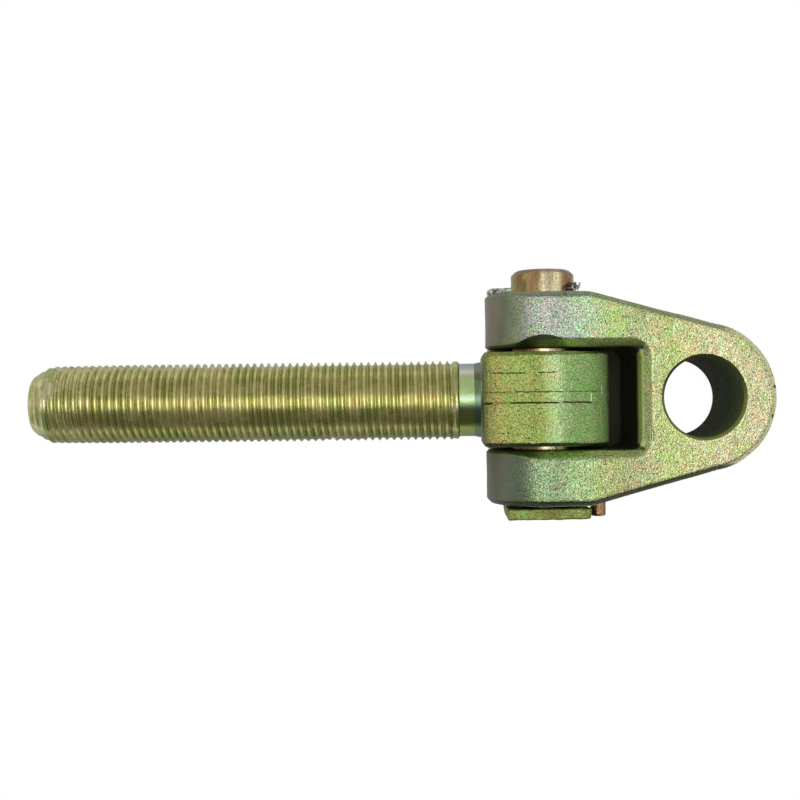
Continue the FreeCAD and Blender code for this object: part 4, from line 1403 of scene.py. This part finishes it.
@dataclass
class ForkForging:
    """The forged fork: two ears and the bored tongue, with its slot, bores and knocks."""

    place: PartFrame
    voxel: float = 0.62 * MM
    half_width: float = 43.0 * MM
    half_slot: float = 20.5 * MM
    slot_depth: float = 36.8 * MM
    half_tongue: float = 22.0 * MM
    pin_bore: float = 13.08 * MM
    pin_chamfer: float = 0.8 * MM
    tongue_chamfer: float = 1.2 * MM
    dowel_radius: float = 3.12 * MM
    dowel_along: float = 21.3 * MM
    dowel_up: float = 5.0 * MM
    dowel_depth: float = 12.0 * MM
    slot_bevel: float = 3.4 * MM
    end_bevel: float = 1.2 * MM
    edge_bevel: float = 2.0 * MM
    ear_radius: float = 24.0 * MM
    hub_radius: float = 14.0 * MM
    narrow_from: float = -6.0 * MM
    narrow_over: float = 10.0 * MM
    rim_radius: float = 20.0 * MM
    rim_from: float = -8.0 * MM
    rim_over: float = 8.0 * MM
    tongue_radius: float = 30.0 * MM
    ridge_along: float = 39.9 * MM
    ridge_height: float = 0.3 * MM
    ridge_width: float = 0.55 * MM
    scallop_radius: float = 24.4 * MM
    scallop_reach: float = 2.0 * MM
    scallop_along: float = -5.5 * MM
    scallop_top: float = 24.0 * MM
    scallop_floor: float = 13.0 * MM
    hammering: Hammering = Hammering(seed=29.0)
    knocks: tuple[Triple, ...] = ((18.0, 1.1, 0.9), (8.0, 1.0, 0.8), (24.0, 0.8, 0.4), (33.0, 1.0, 0.3),
                                  (-16.4, 1.1, 0.7), (-38.0, 1.0, 0.3), (-52.0, 1.4, 0.4))
    knock_radius: float = 29.3 * MM
    knock_drop: float = 0.8 * MM
    marks: tuple[Mark, ...] = (Mark(90.2, 8.4, 9.6, 0.6, Tone.EDGE_DARK),
                               Mark(90.6, 3.4, 4.4, 0.6, Tone.EDGE_DARK),
                               Mark(89.6, -8.6, -7.4, 0.5, Tone.EDGE_DARK),
                               Mark(74.0, -19.4, -16.6, 1.3, Tone.PINE, 0.6),
                               # painted highlight and painted shade: a glint and a dark line on the ridge's two
                               # sides
                               Mark(39.4, -18.0, -11.5, 0.30, Tone.GLINT, 0.7),
                               Mark(40.4, -17.4, -12.5, 0.25, Tone.EDGE_DARK, 0.6),
                               Mark(5.2, 41.4, 42.6, 0.9, Tone.UMBER, 0.6))
    bore_radius: float = field(init=False)
    bore_along: float = field(init=False)

    def __post_init__(self) -> None:
        """Read the tongue's bore from the frame."""
        bore = mount("tongue_bore")
        self.bore_radius = bore["dims"]["r_mm"] * MM
        self.bore_along = float(self.place.local(np.array([bore["pos_m"]]))[0][0])

    def dents(self) -> list[Dent]:
        """Turn the knocks, each an angle, a width and a depth, into dents of the tongue's rim.

        Returns:
            The dents.
        """
        made = []
        for angle, width, depth in self.knocks:
            turn = math.radians(angle)
            place = (self.bore_along + self.knock_radius * math.cos(turn), self.knock_radius * math.sin(turn),
                     self.half_tongue - self.knock_drop)
            made.append(Dent(place, width * MM, depth * MM))
        return made

    def rule(self) -> Callable[[Vector, Vector], float]:
        """Make the rule by which the fork's skin is pushed in and out.

        Returns:
            A function of a point and its normal.
        """
        dents = self.dents()

        def push(point: Vector, normal: Vector) -> float:
            """How far the skin stands out.

            Args:
                point: A point of the skin.
                normal: The skin's normal there.

            Returns:
                The height in metres.
            """
            calm = 0.35 if abs(point.y) < self.half_slot + 1.0 * MM and point.x < self.slot_depth else 1.0
            move = self.hammering.push(point) * calm
            if normal.z > 0.7 and abs(point.y) < 18.0 * MM:
                wavy = 0.25 * MM * math.sin(point.y / (3.0 * MM))
                gap = (point.x - self.ridge_along - wavy) / self.ridge_width
                strong = 0.06 + 0.94 * math.exp(-((point.y + 14.7 * MM) / (3.0 * MM)) ** 2)
                move += self.ridge_height * strong * math.exp(-gap * gap)
            if point.z > 0.0 and point.x > self.bore_along:
                move += sum(dent.push(point) for dent in dents)
            return move

        return push

    def narrow_bevels(self, mesh: bpy.types.Mesh) -> None:
        """Draw the slot's and one ear's bevels out to a narrow edge where they run round the ears' ends.

        Args:
            mesh: The fork's mesh.
        """
        plain = self.ear_radius - self.slot_bevel - self.hub_radius
        for vertex in mesh.vertices:
            point = vertex.co
            reach = math.hypot(point.x, point.z)
            inward = abs(point.y) - self.half_slot
            if reach < self.hub_radius or not -0.3 * MM < inward < self.slot_bevel + 0.4 * MM:
                continue
            share = clamped((self.narrow_from - point.x) / self.narrow_over)
            spread = min(1.0, (reach - self.hub_radius) / plain)
            longer = min(self.ear_radius, reach + (self.slot_bevel - self.end_bevel) * share * spread)
            if longer > reach:
                point.x, point.z = point.x * longer / reach, point.z * longer / reach
        for vertex in mesh.vertices:
            point = vertex.co
            reach = math.hypot(point.x, point.z)
            outward = point.y - self.half_width + self.edge_bevel
            if reach < self.rim_radius or outward < 0.1 * MM or point.x > self.rim_from:
                continue
            share = min(1.0, (self.rim_from - point.x) / self.rim_over)
            longer = reach + min(self.edge_bevel / 2.0, outward) * share
            point.x, point.z = point.x * longer / reach, point.z * longer / reach
        mesh.update()

    def plugs(self) -> list[bpy.types.Mesh]:
        """Fill the bores while the skin is made.

        Returns:
            The plugs.
        """
        margin = 0.4 * MM
        pin_wide = self.pin_bore + self.pin_chamfer + margin
        tongue_wide = self.bore_radius + self.tongue_chamfer + margin
        made = [Shaper.rod("ear_plug", side * self.half_slot, side * self.half_width, pin_wide, 1, 96)
                for side in (-1.0, 1.0)]
        made.append(Shaper.rod("tongue_plug", -self.half_tongue, self.half_tongue, tongue_wide, 2, 96,
                               (self.bore_along, 0.0, 0.0)))
        made.append(Shaper.rod("dowel_plug", -self.half_width + self.dowel_depth + margin, -self.half_width,
                               self.dowel_radius + margin, 1, 48, (self.dowel_along, 0.0, self.dowel_up)))
        return made

    def cutters(self) -> list[tuple[bpy.types.Mesh, int]]:
        """Make the tools that clear the bores and the scallop.

        Returns:
            The tools, each with the slot of its material.
        """
        beyond = 1.0 * MM
        made = [(Shaper.countersink("ear_drill", side * self.half_slot, side * self.half_width, self.pin_bore,
                                    self.pin_chamfer, beyond, 1, 96), 1) for side in (-1.0, 1.0)]
        made.append((Shaper.countersink("tongue_drill", -self.half_tongue, self.half_tongue, self.bore_radius,
                                        self.tongue_chamfer, beyond, 2, 128, (self.bore_along, 0.0, 0.0)), 2))
        made.append((Shaper.rod("dowel_drill", -self.half_width + self.dowel_depth, -self.half_width - beyond,
                                self.dowel_radius, 1, 48, (self.dowel_along, 0.0, self.dowel_up)), 1))
        rim = self.half_slot + self.slot_bevel + self.scallop_reach
        slope = (rim - self.half_slot) / (self.scallop_top - self.scallop_floor)
        above = 4.0 * MM
        profile = [(self.scallop_floor, 0.0),
                   (self.scallop_floor, self.scallop_radius - rim + self.half_slot),
                   (self.scallop_top + above, self.scallop_radius + slope * above),
                   (self.scallop_top + above, 0.0)]
        scallop = Shaper.lathe("scallop_cutter", profile, 2, 160,
                               (self.scallop_along, rim - self.scallop_radius, 0.0))
        Shaper.sliced(scallop, Vector((0.0, 12.0 * MM, 0.0)), ACROSS)
        made.append((scallop, 0))
        return made

    def build(self) -> bpy.types.Object:
        """Make the fork from the node's own form.

        Returns:
            The piece.
        """
        mesh = Shaper.node_copy("fork", self.place)
        solid = Shaper.joined("fork_solid", [mesh, *self.plugs()])
        solid = Shaper.modified(solid, "REMESH", {"mode": "VOXEL", "voxel_size": self.voxel})
        Shaper.rounded(solid, 1, (0.0, 0.0, 0.0), self.ear_radius, 1.0 * MM, -1.0)
        Shaper.rounded(solid, 2, (self.bore_along, 0.0, 0.0), self.tongue_radius, self.bore_along, 1.0)
        self.narrow_bevels(solid)
        Shaper.pushed(solid, self.rule())
        for cutter, slot in self.cutters():
            solid = Shaper.cut(solid, cutter, slot)
        tongue = ((0.53, Tone.SAND), (0.62, Tone.PALE_STRAW), (0.80, Tone.ROSE_BEIGE), (1.0, Tone.ROSE_BEIGE))
        # painted shade: dark tones at the ears' left ends, and darker far bands for the -Y side
        bands = ((0.00, Tone.MAUVE_GREY), (0.02, Tone.MAUVE_GREY), (0.045, Tone.SEA_GREY),
                 (0.09, Tone.OLIVE_GREY), (0.12, Tone.SILVER_GREY), (0.24, Tone.SILVER_GREY),
                 (0.30, Tone.MINT), (0.42, Tone.LIME), *tongue)
        far_bands = ((0.00, Tone.SLATE), (0.045, Tone.SLATE), (0.09, Tone.SEA_GREY), (0.14, Tone.FERN_GREY),
                     (0.22, Tone.FERN_GREY), (0.30, Tone.FERN), (0.42, Tone.STRAW_GREEN), *tongue)
        skin = ForgedSkin("fork_skin", -24.0, self.bore_along / MM + 30.0, bands, far_bands,
                          slot=(self.slot_depth / MM, self.half_slot / MM, self.slot_bevel / MM),
                          marks=self.marks, calm=-14.0)
        ear_wall = BoredSteel("ear_bore_wall", 1, Tone.EDGE_DARK, Tone.RIM_OLIVE, 42.0, 42.8)
        tongue_wall = BoredSteel("tongue_bore_wall", 2, Tone.BORE_GREEN, Tone.RIM_OLIVE, 20.6, 21.0)
        piece = Shaper.piece("fork_forging", solid, self.place, 45.0, skin.material(), ear_wall.material(),
                             tongue_wall.material())
        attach(piece, "fork")
        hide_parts("fork")
        return piece


@dataclass
class HingePin:
    """The pin with its flat, hot-sheared head.

    The leans are shares of the draft: how far an end of the head leans out towards its foot, how much more
    it does so at one of its faces, and how far the whole end is set back.
    """

    place: PartFrame
    radius: float = 13.0 * MM
    far_end: float = 53.2 * MM
    chamfer: float = 2.0 * MM
    head_face: float = 44.5 * MM
    head_thickness: float = 4.6 * MM
    head_left: float = -16.1 * MM
    head_right: float = 17.8 * MM
    head_height: float = 28.0 * MM
    corner: float = 0.5 * MM
    easing: float = 0.4 * MM
    draft: float = 1.2 * MM
    left_lean: Triple = (1.2, 0.7, 0.9)
    right_lean: Triple = (0.65, 0.45, 0.65)
    torn_height: float = 0.22 * MM
    tear_height: float = 0.10 * MM
    broken_corner: float = 0.7 * MM
    hole_radius: float = 2.2 * MM
    drill_reach: float = 20.0 * MM
    hole_gap: float = 0.25 * MM
    fork_half_width: float = 43.0 * MM
    hole_slope: float = 42.0
    cell: float = 0.42 * MM

    def hole(self) -> tuple[Matrix, Vector]:
        """How the cross hole is turned, and its middle, in the pin's frame."""
        along = self.fork_half_width + self.hole_gap + self.hole_radius
        return Matrix.Rotation(-math.radians(self.hole_slope), 4, "Y"), Vector((0.0, along, 0.0))

    def shaft(self) -> bpy.types.Mesh:
        """Turn the shaft with its eased end and drill the cross hole.

        Returns:
            The mesh.
        """
        start = -self.head_face - self.head_thickness / 2.0
        profile = [(start, 0.0), (start, self.radius), (-20.0 * MM, self.radius), (20.0 * MM, self.radius),
                   (self.far_end - self.chamfer - 0.3 * MM, self.radius),
                   (self.far_end - self.chamfer + 0.2 * MM, self.radius - 0.15 * MM),
                   (self.far_end - 0.35 * MM, self.radius - self.chamfer + 0.3 * MM),
                   (self.far_end, self.radius - self.chamfer - 0.5 * MM)]
        profile += [(self.far_end, (self.radius - self.chamfer) * share) for share in (0.8, 0.5, 0.25, 0.0)]
        shaft = Shaper.lathe("hinge_pin_shaft", profile, 1, 128)
        drill = Shaper.rod("cross_hole_drill", -self.drill_reach, self.drill_reach, self.hole_radius, 0, 40)
        turn, middle = self.hole()
        drill.transform(Matrix.Translation(middle) @ turn)
        return Shaper.cut(shaft, drill, 1)

    def head_point(self, point: Vector, normal: Vector) -> float:
        """How far the head's torn skin stands out: a shallow wave, tears and a broken corner.

        Args:
            point: A point of the skin.
            normal: The skin's normal there, which the tears don't heed.

        Returns:
            The height in metres.
        """
        move = self.torn_height * noise.noise(point / (3.2 * MM) + Vector((4.0, 1.0, 9.0)))
        move += self.tear_height * noise.noise(point / (0.9 * MM))
        corner = Vector((self.head_right, -self.head_face - self.head_thickness, point.z))
        gap = (point - corner).length / (1.5 * MM)
        return move - self.broken_corner * math.exp(-gap * gap)

    def head(self) -> bpy.types.Mesh:
        """Make the head: a plate with eased corners, leaning ends and a torn, uneven skin.

        Returns:
            The mesh.
        """
        middle = Vector(((self.head_left + self.head_right) / 2.0,
                         -self.head_face - self.head_thickness / 2.0, 0.0))
        size = Vector((self.head_right - self.head_left, self.head_thickness, self.head_height))
        tissue = bmesh.new()
        bmesh.ops.create_cube(tissue, size=1.0)
        bmesh.ops.transform(tissue, matrix=Matrix.Translation(middle) @ Matrix.Diagonal((*size, 1.0)),
                            verts=tissue.verts)
        upright = [edge for edge in tissue.edges
                   if abs((edge.verts[0].co - edge.verts[1].co).normalized().y) > 0.9]
        bmesh.ops.bevel(tissue, geom=upright, offset=self.corner, segments=5, profile=0.5, affect="EDGES")
        rims = [edge for edge in tissue.edges if len(edge.link_faces) == 2
                and edge.calc_face_angle() > 1.2]
        bmesh.ops.bevel(tissue, geom=rims, offset=self.easing, segments=3, profile=0.5, affect="EDGES")
        plate = bpy.data.meshes.new("hinge_pin_head")
        tissue.to_mesh(plate)
        tissue.free()
        plate = Shaper.modified(plate, "REMESH", {"mode": "VOXEL", "voxel_size": self.cell})
        for vertex in plate.vertices:
            down = 0.5 - vertex.co.z / self.head_height
            out = (-self.head_face - vertex.co.y) / self.head_thickness
            if vertex.co.x < middle.x:
                lean, flare, shift = self.left_lean
                vertex.co.x += self.draft * (down * (lean + flare * out) - shift)
            elif vertex.co.x > middle.x + 6.0 * MM:
                low = clamped(down * 6.0 - 3.4)
                inside = clamped((0.75 - out) * 5.0)
                lean, flare, shift = self.right_lean
                vertex.co.x += self.draft * (low * (lean + flare * inside) - shift)
        Shaper.pushed(plate, self.head_point)
        return plate

    def build(self) -> list[bpy.types.Object]:
        """Make the shaft and the head.

        Returns:
            The two pieces.
        """
        film = CopperedPin("hinge_pin_film", self.radius / MM, end=self.far_end / MM,
                           painted_shade_from=-self.fork_half_width / MM + 1.0)
        wall = BoredSteel("cross_hole_wall", 0, Tone.UMBER, Tone.UMBER, 30.0, 31.0)
        shaft, head = self.shaft(), self.head()
        pieces = [Shaper.piece("hinge_pin_shaft", shaft, self.place, 30.0, film.material(), wall.material()),
                  Shaper.piece("hinge_pin_head", head, self.place, 50.0, ShearedSteel().material())]
        for piece in pieces:
            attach(piece, "fork")
            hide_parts("hinge_pin")
        return pieces


@dataclass
class SplitPin:
    """Half-round wire folded into an eye, its two legs spread behind the hinge pin."""

    place: PartFrame
    wire_radius: float = 2.0 * MM
    pin_radius: float = 13.0 * MM
    leg_gap: float = 0.1 * MM
    loop_radius: float = 3.4 * MM
    loop_stand: float = 5.0 * MM
    neck_radius: float = 3.0 * MM
    bend_radius: float = 2.2 * MM
    bend_angle: float = 38.0
    leg_stand: float = 1.2 * MM
    leg_length: float = 1.5 * MM
    section_steps: int = 14

    def half_path(self) -> list[tuple[float, float]]:
        """Draw the middle line of one leg in the pin's own plane.

        Returns:
            Points from the leg's tip to the back of the eye.
        """
        offset = self.leg_gap + self.wire_radius / 2.0
        angle = math.radians(self.bend_angle)
        leg_start = self.pin_radius + self.leg_stand
        bend_end = Vector((leg_start + self.bend_radius * math.sin(angle),
                           offset + self.bend_radius * (1.0 - math.cos(angle))))
        tip = bend_end + Vector((math.cos(angle), math.sin(angle))) * self.leg_length
        path = [tuple(tip), tuple(bend_end.lerp(tip, 0.5))]
        path += [(leg_start + out, offset + aside)
                 for out, aside in reversed(bend(self.bend_radius, angle, 8))]
        neck_start = -self.pin_radius - self.loop_stand
        for step in range(1, 12):
            path.append((leg_start + (neck_start - leg_start) * step / 12, offset))
        rise = math.acos((offset + self.neck_radius) / (self.loop_radius + self.neck_radius))
        path += [(neck_start - out, offset + aside) for out, aside in bend(self.neck_radius, rise, 8)]
        centre = neck_start - (self.loop_radius + self.neck_radius) * math.sin(rise)
        first = math.pi / 2.0 - rise
        for step in range(1, 13):
            turn = first + (math.pi - first) * step / 12
            path.append((centre + self.loop_radius * math.cos(turn), self.loop_radius * math.sin(turn)))
        return path

    def build(self) -> bpy.types.Object:
        """Sweep the half-round section along the whole wire.

        Returns:
            The piece.
        """
        half = self.half_path()
        path = [Vector((along, 0.0, across)) for along, across in half]
        path += [Vector((along, 0.0, -across)) for along, across in reversed(half[:-1])]
        count = self.section_steps
        section = []
        for step in range(count + 1):
            turn = math.pi * step / count
            section.append((self.wire_radius * math.cos(turn), self.wire_radius * math.sin(turn)))
        section += [(-self.wire_radius * 0.5, 0.0), (self.wire_radius * 0.5, 0.0)]
        rows = []
        for index, spot in enumerate(path):
            ahead = path[min(index + 1, len(path) - 1)] - path[max(index - 1, 0)]
            outward = ACROSS.cross(ahead.normalized())
            scuff = 1.0 + 0.03 * noise.noise(spot / (2.0 * MM))
            base = spot - outward * self.wire_radius / 2.0
            rows.append([base + ACROSS * (sideways * scuff) + outward * (out * scuff)
                         for sideways, out in section])
        columns = len(section)
        points = [point for row in rows for point in row]
        faces = Shaper.ring_faces(len(rows), columns)
        faces.append(tuple(range(columns)))
        faces.append(tuple(range((len(rows) - 1) * columns, len(rows) * columns)))
        mesh = Shaper.mesh("split_pin", points, faces)
        piece = Shaper.piece("split_pin_wire", mesh, self.place, 40.0, SplitWire().material())
        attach(piece, "fork")
        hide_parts("split_pin")
        return piece


@dataclass
class LockingDowel:
    """Short pin beside the head that keeps the hinge pin from turning."""

    place: PartFrame
    radius: float = 3.1 * MM
    outer: float = -48.5 * MM
    inner: float = -31.4 * MM
    rounding: float = 0.9 * MM

    def build(self) -> bpy.types.Object:
        """Turn the dowel with a worn, rounded end.

        Returns:
            The piece.
        """
        edge = self.outer + self.rounding
        profile = [(self.inner, 0.0), (self.inner, self.radius), (edge + 3.0 * MM, self.radius),
                   (edge, self.radius)]
        profile += [(edge - out, self.radius - aside)
                    for out, aside in bend(self.rounding, math.pi / 2.0, 8)[1:]]
        profile += [(self.outer - 0.05 * MM, self.radius * 0.4), (self.outer - 0.05 * MM, 0.0)]
        mesh = Shaper.lathe("locking_dowel", profile, 1, 64)
        # painted shadow and highlight: black and umber on the side by the head, lit copper in the middle
        tones = ((0.0, Tone.BLACK), (0.32, Tone.UMBER), (0.48, Tone.DARK_BRONZE), (0.66, Tone.COPPER),
                 (0.80, Tone.RED_BRONZE), (1.0, Tone.DEEP_OLIVE))
        film = CopperedPin("dowel_film", self.radius / MM, tones)
        piece = Shaper.piece("locking_dowel_pin", mesh, self.place, 40.0, film.material())
        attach(piece, "fork")
        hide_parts("locking_dowel")
        return piece


@dataclass
class Studio:
    """Pale floor, one long softbox overhead, and a room that is dim on one side.

    The nook is the stretch of floor between the ears, in millimetres from the hinge pin: from and to along
    X, then from and to along Y. There the floor looks white only where the sky is nearly open, and
    elsewhere its paint is darkened to a painted shadow.
    """

    floor_size: float = 8.0
    floor_drop: float = 0.25 * MM
    box_height: float = 1.2
    box_length: float = 1.15
    box_width: float = 0.62
    box_shift: float = -0.02
    box_power: float = 6.4
    nook: tuple[float, float, float, float] = (-21.0, 38.5, -21.0, 21.0)

    def floor(self, pivot: Vector) -> None:
        """Lay a pale floor: white to the eye in the open, and where the part shuts the light out, its paint
        is darkened to a painted shadow.

        Args:
            pivot: The hinge pin's middle, from which the nook between the ears is measured; the painted
            shadow is deepest there.
        """
        half = self.floor_size / 2.0
        points = [(-half, -half, -self.floor_drop), (half, -half, -self.floor_drop),
                  (half, half, -self.floor_drop), (-half, half, -self.floor_drop)]
        mesh = Shaper.mesh("studio_floor", points, [(0, 1, 2, 3)])
        tree = MaterialTree("pale_floor")
        along, sideways, _ = tree.axes(tree.place())
        along, sideways = along - pivot.x * 1000.0, sideways - pivot.y * 1000.0
        start, end, low, high = self.nook
        # painted shade: between the ears the floor's paint turns dark unless the sky is nearly open
        nook = along.window(start, end, 1.0) * sideways.window(low, high, 1.0)
        close = self._open_sky(tree, 20.0)
        clear = close.step(0.14, 0.34) * (1.0 - nook) + close.step(0.72, 0.95) * nook
        wide = self._open_sky(tree, 150.0).step(0.94, 1.0)
        rays = ("Is Camera Ray", "Is Glossy Ray", "Is Transmission Ray")
        eye, mirror, glass = (tree.node("ShaderNodeLightPath", output=name) for name in rays)
        direct = eye.larger(glass).larger(mirror * wide)
        # painted shadow: the floor's own paint is mixed towards the dark painted-shade colour where the sky is
        # shut
        pale = tree.mix(clear, Tone.PAINTED_SHADE, Tone.PALE)
        paint = tree.node("ShaderNodeBsdfDiffuse", None, {"Color": pale})
        white = tree.node("ShaderNodeEmission", None, {"Color": WHITE, "Strength": 1.0})
        mixed = tree.node("ShaderNodeMixShader", None, {0: direct * clear, 1: paint, 2: white})
        tree.node_output("ShaderNodeOutputMaterial", mixed)
        mesh.materials.append(tree.owner)
        made = placed("studio_floor", mesh)

    @staticmethod
    def _open_sky(tree: MaterialTree, distance: float) -> Shade:
        """How open the sky is over a point, as far as a distance in millimetres."""
        return tree.node("ShaderNodeAmbientOcclusion", {"samples": 16}, {"Distance": distance * MM},
                         output="AO")

    def softbox(self, middle: float) -> None:
        """Hang the softbox.

        Args:
            middle: Its place along X.
        """
        lamp = bpy.data.lights.new("softbox", "AREA")
        lamp.shape = "RECTANGLE"
        lamp.size = self.box_length
        lamp.size_y = self.box_width
        lamp.energy = self.box_power
        placed("softbox", lamp).location = (middle, self.box_shift, self.box_height)

    def room(self) -> None:
        """Light the room: dim towards -Y, lighter towards +Y, white where the camera looks past the floor."""
        world = bpy.data.worlds.new("room")
        bpy.context.scene.world = world
        tree = MaterialTree("room", world)
        direction = tree.node("ShaderNodeTexCoord", output="Generated")
        along, sideways, up = tree.axes(direction)
        side = sideways.step(-0.30, 0.30)
        level = 0.10 + side * 0.40 + abs(along).step(0.35, 0.95) * 0.45
        camera = tree.node("ShaderNodeLightPath", output="Is Camera Ray")
        strength = level + camera * (1.0 - level)
        glow = tree.node("ShaderNodeBackground", None, {"Color": WHITE, "Strength": strength})
        tree.node_output("ShaderNodeOutputWorld", glow)


@dataclass
class PhotoCamera:
    """The camera straight above the part, with the photograph's slight roll."""

    focal: float = 54.0
    sensor: float = 36.0
    offset: Triple = (-59.8 * MM, 0.3 * MM, 500.0 * MM)
    roll: float = -0.7

    def build(self, pivot: Vector) -> None:
        """Place the camera over the hinge pin.

        Args:
            pivot: The hinge pin's middle.
        """
        lens = bpy.data.cameras.new("photo_camera")
        lens.lens = self.focal
        lens.sensor_width = self.sensor
        lens.clip_start = 0.01
        made = placed("photo_camera", lens)
        made.location = pivot + Vector(self.offset)
        made.rotation_euler = (0.0, 0.0, math.radians(self.roll))
        bpy.context.scene.camera = made


def main() -> None:
    """Build the part, the studio and the camera."""
    logging.basicConfig(level=logging.INFO, format="%(name)s: %(message)s")
    pivot = Vector(frame["joints"][0]["pos_m"])
    rod = PartFrame.about_pin(pivot, -Vector(mount("shank")["axis"]))
    fork = PartFrame.about_pin(pivot, ACROSS.cross(Vector(mount("tongue_bore")["axis"])))
    PhotoCamera().build(pivot)
    pieces = ThreadedShank(rod).build()
    pieces.append(EyeForging(rod).build())
    forging = ForkForging(fork)
    pieces.append(forging.build())
    pin = HingePin(fork)
    pieces += pin.build()
    pieces.append(SplitPin(fork.turned(*pin.hole())).build())
    dowel_middle = Vector((forging.dowel_along, 0.0, forging.dowel_up))
    pieces.append(LockingDowel(fork.turned(Matrix.Identity(4), dowel_middle)).build())
    for piece in pieces:
        LOG.info("%s: %d faces", piece.name, len(piece.data.polygons))
    studio = Studio()
    studio.floor(pivot)
    studio.softbox(0.0)
    studio.room()
    bpy.context.scene.view_settings.view_transform = "Standard"


if __name__ == "__main__":
    main()
